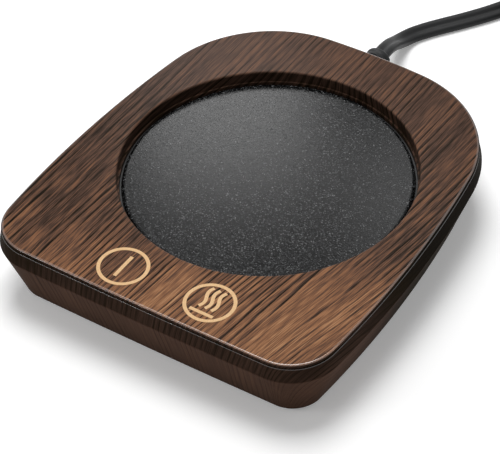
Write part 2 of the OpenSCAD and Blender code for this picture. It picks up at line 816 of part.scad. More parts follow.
module sensor_wires() {
    x = terminal_x[1];
    z = clamp_under_z - 2;
    color("firebrick") for (s = [-0.8, 0.8]) wire([
        [s, well_y, z], [s, well_y - 0.4, z - 1.2], [s, well_y - 5, z - 2], [s + 0.4, well_y - 20, z - 2.2],
        [x + s, wire_end_y + 3, wire_end_z - 0.2], [x + s, wire_end_y, wire_end_z]
    ], 0.55);
}

// Bar that holds the flat lead down on its saddle
module cord_clamp() {
    room = 0.05;
    color("#dddddd") difference() {
        translate([cord_x - clamp_size[0] / 2, clamp_y - clamp_size[1] / 2, clamp_bar_z]) cube(clamp_size);
        translate([cord_x - cord_w / 2 - room, clamp_y - 5, cord_z - cord_t])
            cube([cord_w + 2 * room, 10, 1.5 * cord_t + room]);
        for (s = [-1, 1]) post([cord_x + s * clamp_hole_x, clamp_y], 0, case_h, screw_hole_d);
    }
}

module cord_clamp_screws() {
    color("gainsboro") for (s = [-1, 1])
        screw_down([cord_x + s * clamp_hole_x, clamp_y], clamp_bar_z + clamp_size[2], 11);
}

module case_screws() {
    color("gainsboro") both_sides() for (p = screws) screw(p, boss_z - screw_grip, 11);
}

module rubber_feet() {
    color("#151515") both_sides() for (p = feet) translate([p[0], p[1], base_z + foot_seat]) mirror([0, 0, 1])
        rounded_disc(foot_d / 2, foot_h + foot_seat, 0.5);
}

// Moulded sleeve round the lead: a flange and a neck in the wall, and a ribbed taper outside
module strain_relief() {
    sides = 28;
    groove = 0.5;
    end_r = cord_w / 2 + 1.5;
    shoulder = [[0, shoulder_d / 2], [2.2, shoulder_d / 2], [2.6, shoulder_d / 2 - 0.4]];
    pitch = (relief_l - 4.5) / 4;
    ribs = [for (i = [0:3])
        let (y = 4 + i * pitch, r = shoulder_d / 2 - 0.5 - (shoulder_d / 2 - 0.5 - end_r) * (i + 0.5) / 4)
        each [[y - EPS, r], [y, r - groove], [y + 0.8, r - groove], [y + 0.8 + EPS, r]]];
    profile = concat(shoulder, ribs, [[relief_l - 0.5, end_r], [relief_l, end_r - 0.4]]);
    color("#161616") {
        along_exit(pad_in_y - flange_t, pad_in_y, flange_d);
        along_exit(pad_in_y, pad_face_y, neck_d);
        loft([for (p = profile) [for (k = [0:sides - 1])
            let (a = -360 * k / sides, flat = 1 - 0.22 * p[0] / relief_l)
            [cord_x + p[1] * cos(a), pad_face_y + p[0], cord_z + p[1] * flat * sin(a)]]]);
    }
}

module cord_lead() {
    color("#141414") tube(cord_pts, twin_section(), roll = cord_roll);
}

module cord_tail() {
    color("#141414") tube(tail_pts, twin_section(), roll = tail_roll);
}

// Outer shape of the coiled lead, which lies in turns on its edge
module cord_coil() {
    soft = cord_t / 2 - 0.1;
    color("#141414") translate(coil_at) rotate_extrude() translate([coil_r - coil_w / 2, 0]) {
        translate([0, soft]) square([coil_w, coil_h - 2 * soft]);
        translate([soft, 0]) square([coil_w - 2 * soft, coil_h]);
        for (x = [soft, coil_w - soft], z = [soft, coil_h - soft]) translate([x, z]) circle(soft);
    }
}

// Flat strap round the coil, with the head that holds its ends on top
module coil_tie() {
    t = 0.4;
    w = 6;
    room = 0.3;
    head = [4.8, 7.4, 2];
    inner = [coil_w + 2 * room, w + 2, coil_h + room];
    color("#202020") translate(coil_at) rotate(250) translate([coil_r, 0, -0.05]) {
        difference() {
            translate([-inner[0] / 2 - t, -w / 2, -t]) cube([inner[0] + 2 * t, w, inner[2] + 2 * t]);
            translate([-inner[0] / 2, -w / 2 - 1, 0]) cube(inner);
        }
        translate([-head[0] / 2, -head[1] / 2, inner[2] + t - EPS]) cube(head);
    }
}

// Moulded plug: a grip that narrows to the lead, with a square face for the blades
module plug_body() {
    sides = 32;
    squareness = 0.62;
    grip = [
        [0, 4.2, 2.6], [0.18, 4.8, 3.2], [0.36, 5.6, 3.9], [0.46, 8.6, 5.2], [0.57, 11.2, 6.1], [0.71, 12, 6.5],
        [0.96, 12.3, 6.5], [1, 11.8, 6]
    ];
    color("#161616") loft([for (p = grip) [for (k = [0:sides - 1])
        let (c = cos(360 * k / sides), s = sin(360 * k / sides))
        plug_at + [p[1] * sign(c) * pow(abs(c), squareness), -p[0] * plug_l,
            p[2] * sign(s) * pow(abs(s), squareness)]]]);
}

module plug_blades() {
    tip = blade_w / 2;
    color("silver") for (s = [-1, 1])
        translate(plug_at + [s * blade_pitch / 2 - blade_t / 2, -plug_l - blade_l, -blade_w / 2]) difference() {
            union() {
                translate([0, tip, 0]) cube([blade_t, blade_l - tip, blade_w]);
                translate([0, tip, tip]) rotate([0, 90, 0]) cylinder(h = blade_t, d = blade_w);
            }
            translate([-1, 4, tip]) rotate([0, 90, 0]) cylinder(h = blade_t + 2, d = 3.2);
        }
}

top_cover();
bottom_housing();
power_key();
heat_key();
hot_plate();
plate_seal();
heater_film();
insulation_pad();
clamp_plate();
clamp_screws();
thermistor();
thermistor_clip();
thermal_fuse();
fuse_clip();
control_board();
board_screws();
film_capacitor();
bulk_capacitor();
triac();
heat_sink();
controller_chip();
wire_terminals();
touch_springs();
indicator_lights();
mains_wires();
heater_wires();
sensor_wires();
cord_clamp();
cord_clamp_screws();
case_screws();
rubber_feet();
strain_relief();
cord_lead();
cord_coil();
coil_tie();
cord_tail();
plug_body();
plug_blades();
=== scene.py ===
# %% [markdown]
# # Electric mug warmer
# A moulded two-part case wrapped in a printed wood-grain film, a coated hot plate sunk in a round
# well, two printed touch keys and a flat twin mains lead. The measured model is loaded first, and
# every piece below is placed in its coordinates: X to the right, Y to the back, Z up, in metres.

# %% Load the measured model
import json
import math

import bpy
import numpy as np
from mathutils import Matrix

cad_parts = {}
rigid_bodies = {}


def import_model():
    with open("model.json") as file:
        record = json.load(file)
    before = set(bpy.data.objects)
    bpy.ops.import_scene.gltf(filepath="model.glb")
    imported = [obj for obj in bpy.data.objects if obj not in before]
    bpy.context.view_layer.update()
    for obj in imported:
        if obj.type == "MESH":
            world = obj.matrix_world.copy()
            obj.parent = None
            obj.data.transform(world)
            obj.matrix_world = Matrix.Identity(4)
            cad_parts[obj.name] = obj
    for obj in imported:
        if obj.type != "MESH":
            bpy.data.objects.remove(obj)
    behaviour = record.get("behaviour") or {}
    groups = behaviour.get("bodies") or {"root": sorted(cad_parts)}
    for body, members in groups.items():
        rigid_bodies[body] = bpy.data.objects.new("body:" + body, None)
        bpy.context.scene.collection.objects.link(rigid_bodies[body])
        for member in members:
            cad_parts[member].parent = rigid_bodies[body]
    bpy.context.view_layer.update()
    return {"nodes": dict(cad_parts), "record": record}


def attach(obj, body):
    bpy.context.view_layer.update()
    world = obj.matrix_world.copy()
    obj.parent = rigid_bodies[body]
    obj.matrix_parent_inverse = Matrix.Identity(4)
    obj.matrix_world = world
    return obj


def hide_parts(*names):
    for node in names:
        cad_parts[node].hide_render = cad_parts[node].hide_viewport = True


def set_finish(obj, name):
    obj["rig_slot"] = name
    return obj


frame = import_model()
print("measured parts:", len(frame["nodes"]))

# %% [markdown]
# Sizes are easier to read in millimetres, so points are worked out in millimetres and turned to
# metres once, when a mesh is made. The main sizes repeat those of the measured model.

# %% Sizes of the case
MM = 0.001
BODY_W, BODY_D, CASE_H, COVER_H = 127.0, 143.0, 26.5, 6.5
WALL, TOP_T, FLOOR_T = 2.2, 2.2, 2.2
WELL_R, WELL_Y, WELL_DEPTH = 49.25, 2.75, 4.0
FOOT_H, FOOT_SEAT, FOOT_R = 1.2, 1.0, 6.0
BASE_Z = FOOT_H
FLOOR_Z = BASE_Z + FLOOR_T
PARTING_Z = CASE_H - COVER_H
UNDER_Z = CASE_H - TOP_T
PLATE_Z = CASE_H - WELL_DEPTH
print(f"case: {BODY_W} x {BODY_D} x {CASE_H} mm, hot plate at {PLATE_Z} mm")

# %% [markdown]
# Colours are written as they look on a screen, in hexadecimal, because that is how a swatch is
# read. Blender computes light in linear values, so one function turns a swatch into those.

# %% Colour from a swatch
def swatch(code):
    """Linear colour of an sRGB hex code: c/12.92 up to 0.04045, else ((c + 0.055)/1.055)^2.4."""
    c = np.array([int(code[i:i + 2], 16) for i in (0, 2, 4)]) / 255
    low, high = c / 12.92, ((c + 0.055) / 1.055) ** 2.4
    return (*np.where(c <= 0.04045, low, high).tolist(), 1.0)


# %% [markdown]
# A material is a tree of nodes. One small function adds a node, sets its options and fills its
# sockets; a socket gets either a number or another node's output.

# %% Add a node, and start a finish
def add(tree, kind, sockets=None, stops=(), to=None, **options):
    """Adds one node. kind is its class without ShaderNode, options are its settings, and stops are
    a colour ramp's (position, hex code) pairs. sockets maps inputs to values, to outputs, or to
    nodes, whose first output in use is meant. Its own is linked to the input in to."""
    node = tree.nodes.new("ShaderNode" + kind)
    for key, value in options.items():
        setattr(node, key, value)
    for position, code in stops[1:-1]:
        node.color_ramp.elements.new(position)
    for element, (position, code) in zip(node.color_ramp.elements if stops else (), stops):
        element.position, element.color = position, swatch(code)
    for key, value in (sockets or {}).items():
        if isinstance(value, bpy.types.Node):
            value = next(output for output in value.outputs if output.enabled)
        if isinstance(value, bpy.types.NodeSocket):
            tree.links.new(value, node.inputs[key])
        else:
            node.inputs[key].default_value = value
    if to:
        tree.links.new(next(output for output in node.outputs if output.enabled), to)
    return node


def span(value, low, high, start, stop):
    """Sockets of a Map Range that takes value from low and high to start and stop."""
    return {0: value, 1: low, 2: high, 3: start, 4: stop}


def empty_tree(owner):
    """The node tree of a material or world, with nothing in it."""
    owner.use_nodes = True
    owner.node_tree.nodes.clear()
    return owner.node_tree


def new_finish(name, **surface):
    """A material with a Principled surface. surface gives its uniform values, _ for a space."""
    material = bpy.data.materials.new(name)
    tree = empty_tree(material)
    shader = add(tree, "BsdfPrincipled",
                 {key.replace("_", " "): value for key, value in surface.items()})
    add(tree, "OutputMaterial", {"Surface": shader.outputs["BSDF"]})
    return material, tree, shader


# %% [markdown]
# A long lens from far away flattens perspective, as in a catalogue picture. The camera looks at
# the table just in front of the plate's middle from the front right, 43 degrees above the table,
# with a slight roll.

# %% Camera
def camera_matrix(target, azimuth, elevation, roll, distance):
    """Camera at target - distance * view, with view = (-sin a cos e, cos a cos e, -sin e), then
    turned about its view line by the roll. Angles are in degrees."""
    a, e, q = math.radians(azimuth), math.radians(elevation), math.radians(roll)
    view = np.array([-math.sin(a) * math.cos(e), math.cos(a) * math.cos(e), -math.sin(e)])
    right = np.array([math.cos(a), math.sin(a), 0.0])
    up = np.cross(right, view)
    side = math.cos(q) * right + math.sin(q) * up
    top = math.cos(q) * up - math.sin(q) * right
    place = np.array(target) - distance * view
    return Matrix([(side[i], top[i], -view[i], place[i]) for i in range(3)] + [(0, 0, 0, 1)])


lens = bpy.data.cameras.new("long_lens")
lens.sensor_fit = "HORIZONTAL"
lens.sensor_width = 36.0
lens.lens = 191.5
lens.clip_end = 20.0
camera = bpy.data.objects.new("camera", lens)
camera.matrix_world = camera_matrix(target=(-0.00618, 0.00002, 0.0), azimuth=34.96,
                                    elevation=43.167, roll=-2.443, distance=0.88205)
bpy.context.collection.objects.link(camera)
bpy.context.scene.camera = camera
print("camera at", [round(v, 3) for v in camera.matrix_world.translation])

# %% [markdown]
# Every new piece is a skin of rings: a row of closed loops with the same number of points, joined
# by four-sided faces. A ring is a profile, a circle or the outline of the case. The last ring is
# either joined to the first, as on a tyre, or both ends are closed with a point in their middle,
# as on a pebble.

# %% Skin of rings
def ring_faces(rings, around, joined):
    """Quads between ring i and i+1, point k and k+1, with k wrapping round; i too if joined."""
    i = np.arange(rings if joined else rings - 1)[:, None]
    k = np.arange(around)[None, :]
    a, b = i * around, ((i + 1) % rings) * around
    n = (k + 1) % around
    return np.stack([a + k, a + n, b + n, b + k], -1).reshape(-1, 4)


def outward(points, faces):
    """Faces turned so that the skin's volume, the sum of p0 . (p1 x p2) / 6 over its triangles,
    is above 0."""
    quads = np.array([f if len(f) == 4 else list(f) + [f[0]] for f in faces])
    p = points[quads]
    volume = np.einsum("ij,ij->i", p[:, 0], np.cross(p[:, 1], p[:, 2])).sum()
    volume += np.einsum("ij,ij->i", p[:, 0], np.cross(p[:, 2], p[:, 3])).sum()
    return faces if volume > 0 else [f[::-1] for f in faces]


def skin(rings, joined=False):
    """Points and faces of a skin. rings has the shape (rings, points, 3), in millimetres."""
    rings = np.asarray(rings, float)
    count, around = rings.shape[:2]
    points = rings.reshape(-1, 3)
    faces = ring_faces(count, around, joined).tolist()
    if not joined:
        k = np.arange(around)
        n = (k + 1) % around
        last = (count - 1) * around
        points = np.vstack([points, rings[0].mean(0), rings[-1].mean(0)])
        faces += np.stack([n, k, np.full(around, len(points) - 2)], -1).tolist()
        faces += np.stack([last + k, last + n, np.full(around, len(points) - 1)], -1).tolist()
    return points, outward(points, faces)


# %% [markdown]
# A skin becomes a mesh, and a mesh becomes a piece once it rides on the warmer's one body, has the
# slot of its finish and says which measured parts it stands for.

# %% Mesh and piece
def merged(skins):
    """Several skins as the points and faces of one mesh."""
    points, faces = [], []
    for p, f in skins:
        start = sum(len(q) for q in points)
        points.append(p)
        faces += [[start + v for v in face] for face in f]
    return np.vstack(points), faces


def new_mesh(name, skins):
    points, faces = merged(skins)
    mesh = bpy.data.meshes.new(name)
    mesh.from_pydata(points * MM, [], faces)
    mesh.shade_smooth()
    thing = bpy.data.objects.new(name, mesh)
    bpy.context.collection.objects.link(thing)
    return thing


def new_piece(name, shape, slot, nodes=()):
    """A finished piece, made from skins or from an object, that stands for the parts named."""
    thing = shape if isinstance(shape, bpy.types.Object) else new_mesh(name, shape)
    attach(thing, "root")
    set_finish(thing, slot)
    if nodes:
        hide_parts(*nodes)
    print(f"{name}: {len(thing.data.vertices)} points, {len(thing.data.polygons)} faces")
    return thing


# %% [markdown]
# Two shapes come back all the time: a profile turned round an upright axis, for discs, feet, posts
# and bores, and the quarter round that breaks every moulded corner.

# %% Turned profile and rounding
def full_turn(count):
    """Angles of count points once round, from 0."""
    return np.linspace(0, 2 * np.pi, count, endpoint=False)


def turned(profile, at=(0.0, 0.0), around=96):
    """(x, y, z) = (at + r cos a, at + r sin a, z) for a profile of (r, z) pairs. One that leaves
    and meets the axis makes a solid; any other is joined end to end into a ring."""
    profile = np.asarray(profile, float)
    a = full_turn(around)
    solid = profile[0, 0] == 0
    rows = profile[1:-1] if solid else profile
    r, z = rows[:, :1], rows[:, 1:]
    rings = np.stack([at[0] + r * np.cos(a), at[1] + r * np.sin(a), z + 0 * a], -1)
    return skin(rings, joined=not solid)


def quarter(centre, radius, start, stop, steps=8):
    """Points of a rounding: centre + radius (cos t, sin t), t from start to stop in degrees."""
    t = np.radians(np.linspace(start, stop, steps + 1))
    return np.stack([centre[0] + radius * np.cos(t), centre[1] + radius * np.sin(t)], 1)


# %% [markdown]
# ## The lead
# A mains lead has a fixed length, so it comes before anything else that depends on the view. This
# one is a flat twin lead, 6 mm wide, 3.1 mm thick and 1.2 m long. It leaves the back of the case,
# drops to the table, and most of it is stored in a neat coil of about five and a half turns. A
# flat lead bends about its thin side only, so the turns stand on edge, three beside each other in
# two layers. The route is a row of knots behind the case, the coil, and a row of knots to the plug.

# %% Knots of the route
EXIT_X, EXIT_Z = -8.0, 12.0
CORD_W, CORD_T = 6.0, 3.1
lead_knots = np.array([
    [-8, 84, 12], [-8, 86, 12], [-8.6, 91, 11.2], [-9.6, 96.5, 8.9], [-10.6, 102, 5.7],
    [-11, 107, 3.4], [-10, 112, 2.4], [-7.2, 117, 2.2], [-3.6, 122, 2.2], [0.2, 127, 2.2],
    [3.8, 132, 2.2], [7.2, 137, 2.25], [10.6, 142.4, 2.4], [14.2, 148.4, 2.7], [17.8, 154.4, 3.0],
    [21.4, 160.4, 3.3], [26.4, 168.7, 3.6],
])
lead_rolls = -np.array([0, 0, 3, 10, 16, 20, 23, 24, 24, 24, 25, 27, 33, 46, 63, 80, 90], float)
tail_knots = np.array([
    [90.4, 151, 9.8], [90.4, 145, 9.6], [90.3, 139, 8.9], [90.1, 133, 7.8], [90, 127, 6.9],
    [90, 120, 6.6],
])
tail_rolls = -np.array([90, 82, 60, 34, 12, 0], float)


def through(knots, steps=5):
    """Smooth row through knots. Between two of them it is the cubic (2t^3-3t^2+1) p +
    (t^3-2t^2+t) m + (3t^2-2t^3) q + (t^3-t^2) n, whose slopes m and n are half the way from each
    knot's neighbour to neighbour."""
    knots = np.asarray(knots, float)
    if knots.ndim == 1:
        return through(knots[:, None], steps)[:, 0]
    slope = np.gradient(knots, axis=0)
    t = (np.arange(steps) / steps)[None, :, None]
    p, q, m, n = knots[:-1, None], knots[1:, None], slope[:-1, None], slope[1:, None]
    curve = ((2 * t**3 - 3 * t**2 + 1) * p + (t**3 - 2 * t**2 + t) * m
             + (3 * t**2 - 2 * t**3) * q + (t**3 - t**2) * n)
    return np.vstack([curve.reshape(-1, knots.shape[1]), knots[-1:]])


# %% Coil of the route
COIL_X, COIL_Y, COIL_Z, COIL_R, LAYER = 56.0, 151.0, 3.55, 31.3, 6.1
COIL_START, COIL_SWEEP, SHIFT = 149, 1949, 60  # degrees
COIL_ROLL = -90.0


def ease(value, start, width):
    """0 before start, 1 after start + width, and 3t^2 - 2t^3 between them."""
    t = np.clip((value - start) / width, 0, 1)
    return t * t * (3 - 2 * t)


def coil_route(steps=300):
    """Clockwise turns, (x, y) = middle + r (cos, sin). The radius falls by one lead in each of two
    shifts, the path climbs to the upper layer in the next, and two more bring it out again."""
    a = np.linspace(0, COIL_SWEEP, steps)
    r = COIL_R + CORD_T * (1 - ease(a, 300, SHIFT) - ease(a, 660, SHIFT)
                           + ease(a, 1260, SHIFT) + ease(a, 1620, SHIFT))
    z = COIL_Z + LAYER * ease(a, 960, SHIFT)
    angle = np.radians(COIL_START - a)
    return np.stack([COIL_X + r * np.cos(angle), COIL_Y + r * np.sin(angle), z], 1)


coil = coil_route()
route = np.vstack([through(lead_knots)[:-1], coil, through(tail_knots)[1:]])
rolls = np.concatenate([through(lead_rolls)[:-1], np.full(len(coil), COIL_ROLL),
                        through(tail_rolls)[1:]])
route_mm = np.linalg.norm(np.diff(route, axis=0), axis=1).sum()
print(f"lead: {route_mm:.0f} mm in {len(route)} points")

# %% [markdown]
# The section of a flat twin lead is two round cores under one jacket, with a groove down the
# middle of each flat side where the jacket can be split. It is swept along the route, and rolled
# on the way so that it lies flat behind the case and stands on edge in the coil.

# %% Lead
SPLIT_DEPTH, SPLIT_HALF_W = 0.5, 0.8


def twin_section(count=40):
    """Half thickness h(x) = sqrt(r^2 - (|x| - c)^2) outside the core centres c, and r between
    them, less a bell with the split's depth and half width."""
    r = CORD_T / 2
    c = CORD_W / 2 - r
    t = 2 * np.pi * np.arange(count) / count
    x = CORD_W / 2 * np.cos(t)
    beyond = np.clip(np.abs(x) - c, 0, r)
    h = np.sqrt(np.maximum(r * r - beyond**2, 0)) - SPLIT_DEPTH * np.exp(-(x / SPLIT_HALF_W) ** 2)
    return np.stack([x, h * np.sign(np.sin(t)) * (np.abs(np.sin(t)) > 1e-9)], 1)


def swept(section, path, roll):
    """The section carried along a path: each point is p + x s + y n, with s level and across the
    path, n square to both, and both turned about the path by the roll."""
    t = np.gradient(path, axis=0)
    t /= np.linalg.norm(t, axis=1, keepdims=True)
    s = np.cross(t, [0, 0, 1.0])
    s /= np.linalg.norm(s, axis=1, keepdims=True)
    n = np.cross(s, t)
    c, d = np.cos(np.radians(roll))[:, None, None], np.sin(np.radians(roll))[:, None, None]
    x, y = section[None, :, :1], section[None, :, 1:]
    return path[:, None] + (x * c - y * d) * s[:, None] + (x * d + y * c) * n[:, None]


lead = new_piece("twin_lead", [skin(swept(twin_section(), route, rolls))], "black_pvc",
                 ("cord_lead", "cord_coil", "cord_tail"))

# %% [markdown]
# The strain relief is one moulding: a flange inside the wall, a neck through it, a shoulder
# against the outside and a ribbed taper that bends with the lead. It is a skin of rings along the
# exit, whose radius is a formula of the distance from the wall, with round grooves cut into the
# taper.

# %% Strain relief
PAD_IN_Y, PAD_FACE_Y = 66.1, 69.5
NECK_R, SHOULDER_R, FLANGE_R, RELIEF_L = 4.5, 6.0, 6.2, 16.5
TAPER_Y, TAPER_L, TAPER_R, TAPER_LOSS, RIBS, RIB_DEPTH = 2.9, 10.6, 5.55, 1.35, 4, 0.6
COLLAR_Y, COLLAR_HALF_L, COLLAR_R, COLLAR_H = 15.2, 1.3, 3.7, 0.8
FLATTENED = 0.22


def relief_radius(y):
    """Radius at a distance from the wall: the shoulder less a square at its edge; then the taper,
    less grooves with the section of a cosine; then the collar with the section of an ellipse."""
    shoulder = SHOULDER_R - 0.5 * np.clip((y - 1.9) / 0.6, 0, 1) ** 2
    t = np.clip((y - TAPER_Y) / TAPER_L, 0, 1)
    grooves = RIB_DEPTH * np.clip(1.7 * np.cos(2 * np.pi * (t * RIBS - 0.5)) - 0.5, 0, 1)
    ribbed = TAPER_R - TAPER_LOSS * t - np.where((t > 0) & (t < 1), grooves, 0)
    collar = np.sqrt(np.maximum(1 - ((y - COLLAR_Y) / COLLAR_HALF_L) ** 2, 0))
    beyond = np.maximum(ribbed * (y < 14.4), COLLAR_R + COLLAR_H * collar)
    return np.where(y < 2.5, shoulder, beyond)


def relief_rings(around=64):
    """Ellipses (r cos a, r f sin a) across the exit; f falls from 1 to 1 - FLATTENED outside."""
    along = np.concatenate([[0, 0.25], np.linspace(0.6, RELIEF_L, 150)])
    radius = relief_radius(along)
    radius[0] -= 0.25
    y = np.concatenate([[PAD_IN_Y - 2, PAD_IN_Y - 1.9, PAD_IN_Y - 0.1, PAD_IN_Y, PAD_IN_Y,
                         PAD_FACE_Y], PAD_FACE_Y + along])
    r = np.concatenate([[FLANGE_R - 0.1, FLANGE_R, FLANGE_R, FLANGE_R - 0.1, NECK_R, NECK_R],
                        radius])
    flat = 1 - FLATTENED * np.clip(y - PAD_FACE_Y, 0, None) / RELIEF_L
    a = full_turn(around)
    return np.stack([EXIT_X + r[:, None] * np.cos(a), y[:, None] + 0 * a,
                     EXIT_Z + (r * flat)[:, None] * np.sin(a)], -1)


relief = new_piece("strain_relief_sleeve", [skin(relief_rings())], "black_pvc", ("strain_relief",))

# %% [markdown]
# The plug is moulded over the lead's end: a ribbed neck, a waisted grip and a square nose that
# carries the blades. Its rings are superellipses, |x/a|^n + |y/b|^n = 1, which look like rounded
# rectangles. With x = a cos t to the power 2/n, that power is 0.62.

# %% Plug
PLUG = np.array([90.0, 121.0, 6.6])
PLUG_L, PLUG_POWER = 28.0, 0.62
NECK_RIBS, NECK_RIB_DEPTH = 16, 0.45
plug_table = np.array([  # part of the length, half width, half height
    [0, 4.2, 2.6], [0.18, 4.8, 3.2], [0.36, 5.6, 3.9], [0.46, 8.6, 5.2], [0.57, 11.2, 6.1],
    [0.71, 12, 6.5], [0.9, 12.3, 6.5], [0.975, 12.3, 6.5], [0.99, 12.1, 6.3], [1, 11.7, 5.9],
])


def signed_power(value, power):
    return np.sign(value) * np.abs(value) ** power


def plug_rings(around=80, rows=130):
    """Half axes read from the table and smoothed, less the grooves round the neck."""
    part = np.linspace(0, 1, rows)
    wide, high = (np.interp(part, plug_table[:, 0], plug_table[:, column]) for column in (1, 2))
    blur = np.exp(-np.linspace(-2, 2, 9) ** 2)
    wide, high = (np.convolve(np.pad(v, 4, mode="edge"), blur / blur.sum(), "valid")
                  for v in (wide, high))
    on_neck = (part > 0.06) & (part < 0.375)
    neck = NECK_RIB_DEPTH * np.clip(np.sin(2 * np.pi * part * NECK_RIBS), 0, 1) * on_neck
    wide, high = wide - neck, high - neck
    t = full_turn(around)
    x = wide[:, None] * signed_power(np.cos(t), PLUG_POWER)
    z = high[:, None] * signed_power(np.sin(t), PLUG_POWER)
    return np.stack([PLUG[0] + x, PLUG[1] - PLUG_L * part[:, None] + 0 * t, PLUG[2] + z], -1)


plug = new_piece("moulded_plug", [skin(plug_rings())], "black_pvc", ("plug_body",))

# %% [markdown]
# A strap holds the coil together. Its path is a rounded rectangle round the coil, three leads wide
# and two high, its section is a thin rectangle, and its ring of sections is joined end to end. A
# small head holds its ends.

# %% Coil tie
TIE_ANGLE, TIE_W, TIE_T, TIE_BEND_R = 250, 6.0, 0.4, 1.2
HEAD_HALF_W, HEAD_HALF_L, HEAD_POWER = 2.4, 3.7, 0.4
HEAD_ROWS = ((0.9, -0.1), (1, 0.2), (1, 1.6), (0.93, 1.9), (0.8, 2.0))  # size, height mm


def strap_rings(half_w, half_h):
    """Path: four quarter rounds. Section: half a width to each side, half a thickness each way."""
    x, z = half_w - TIE_BEND_R, half_h - TIE_BEND_R
    turn = np.radians((np.arange(0, 360, 90)[:, None] + np.linspace(0, 90, 9)).ravel())
    middle = np.repeat(np.array([(x, z), (-x, z), (-x, -z), (x, -z)]), 9, axis=0)
    normal = np.stack([np.cos(turn), np.sin(turn)], 1)
    inner, outer = TIE_BEND_R - TIE_T / 2, TIE_BEND_R + TIE_T / 2
    loops = []
    for depth, across in ((inner, -1), (inner, 1), (outer, 1), (outer, -1)):
        flat = middle + depth * normal
        loops.append(np.column_stack([flat[:, 0], np.full(len(flat), across * TIE_W / 2),
                                      flat[:, 1]]))
    return np.stack(loops)


def head_rings(height, around=40):
    """Superellipses with the head's half axes times a size, one for each of its rows."""
    t = full_turn(around)
    oval = np.stack([signed_power(np.cos(t), HEAD_POWER), signed_power(np.sin(t), HEAD_POWER)], 1)
    return np.stack([np.column_stack([size * HEAD_HALF_W * oval[:, 0],
                                      size * HEAD_HALF_L * oval[:, 1],
                                      np.full(around, height + z)]) for size, z in HEAD_ROWS])


def tie_skins():
    """Both rings turned to TIE_ANGLE and moved to the coil there."""
    half_h = LAYER + 0.3
    strap, head = strap_rings(CORD_T * 3 / 2 + 0.5, half_h), head_rings(half_h)
    radians = math.radians(TIE_ANGLE)
    c, s = math.cos(radians), math.sin(radians)
    spin = np.array([[c, s, 0], [-s, c, 0], [0, 0, 1]])
    at = np.array([COIL_X + COIL_R * c, COIL_Y + COIL_R * s, COIL_Z - CORD_W / 2 - 0.1 + LAYER])
    return [skin(strap @ spin + at, joined=True), skin(head @ spin + at)]


tie = new_piece("coil_strap", tie_skins(), "black_pvc", ("coil_tie",))

# %% [markdown]

# %% [markdown]
# ## The case
# Seen from above, the case is a square with bowed sides, tight front corners and wide back
# corners. All of its rings share one set of points: a place on the outline and the direction
# straight out of it. A ring that is drawn in is then just the outline less a distance along that
# direction.

# %% Arcs of the outline
FRONT_R, BACK_R = 17.0, 44.0
FRONT_BOW_R, SIDE_BOW_R, BACK_BOW_R, SIDE_BOW_Y = 3000.0, 400.0, 300.0, -27.0


def meet(c0, r0, c1, r1, left):
    """Where two circles cross: a = (r0^2 - r1^2 + d^2) / 2d along the line of centres, then
    square to it."""
    c0, c1 = np.array(c0), np.array(c1)
    d = np.linalg.norm(c1 - c0)
    u = (c1 - c0) / d
    a = (r0 * r0 - r1 * r1 + d * d) / (2 * d)
    return c0 + a * u + left * math.sqrt(r0 * r0 - a * a) * np.array([-u[1], u[0]])


def heading(a, b):
    """Direction from a to b in degrees."""
    return math.degrees(math.atan2(b[1] - a[1], b[0] - a[0]))


def bow(centre, radius, start, stop, count):
    """Points centre + radius (cos t, sin t) and their outward directions (cos t, sin t), with the
    end point left out."""
    t = np.radians(start + (stop - start) * np.arange(count) / count)
    out = np.stack([np.cos(t), np.sin(t)], 1)
    return centre + radius * out, out


# %% Outline of the case
front_c = np.array([0.0, FRONT_BOW_R - BODY_D / 2])
back_c = np.array([0.0, BODY_D / 2 - BACK_BOW_R])
side_c = np.array([BODY_W / 2 - SIDE_BOW_R, SIDE_BOW_Y])
front_corner = meet(front_c, FRONT_BOW_R - FRONT_R, side_c, SIDE_BOW_R - FRONT_R, 1)
back_corner = meet(back_c, BACK_BOW_R - BACK_R, side_c, SIDE_BOW_R - BACK_R, -1)
turns = [heading(front_c, front_corner), heading(side_c, front_corner),
         heading(side_c, back_corner), heading(back_c, back_corner)]
runs = [
    bow(front_c, FRONT_BOW_R, -90, turns[0], 40),
    bow(front_corner, FRONT_R, turns[0], turns[1], 24),
    bow(side_c, SIDE_BOW_R, turns[1], turns[2], 60),
    bow(back_corner, BACK_R, turns[2], turns[3], 40),
    bow(back_c, BACK_BOW_R, turns[3], 90, 20),
    bow(back_c, BACK_BOW_R, 90, 91, 1),
]
right_rim = np.vstack([r[0] for r in runs])
right_out = np.vstack([r[1] for r in runs])
flip = np.array([-1.0, 1.0])
rim = np.vstack([right_rim, (right_rim * flip)[-2:0:-1]])
out = np.vstack([right_out, (right_out * flip)[-2:0:-1]])
spoke = rim - [0, WELL_Y]
spoke /= np.linalg.norm(spoke, axis=1, keepdims=True)
print("outline:", len(rim), "points,", np.ptp(rim, axis=0).round(2), "mm")

# %% [markdown]
# A ring of the case is "edge", the outline drawn in by a distance, "well", a circle round the hot
# plate, or "scaled", a smaller copy of the outline for the middle of the floor. All have a point
# in each of the same directions, so flat faces can run from one kind to the other. Next to each
# corner of a profile goes an extra ring, about a tenth of a millimetre away: with smooth shading
# it keeps the flats flat and gives each corner a fine bright line, as a moulded edge has.

# %% Rings of the case
BASE_INSET = 6.9


def taper(z):
    """How far the housing's wall stands inside the outline at a height."""
    return BASE_INSET * (PARTING_Z - z) / (PARTING_Z - BASE_Z)


def ring(kind, size, z):
    """edge: rim - size * out; well: centre + size * spoke; scaled: size * rim."""
    if kind == "edge":
        flat = rim - size * out
    elif kind == "well":
        flat = [0, WELL_Y] + size * spoke
    else:
        flat = rim * size
    return np.column_stack([flat, np.full(len(rim), z)])


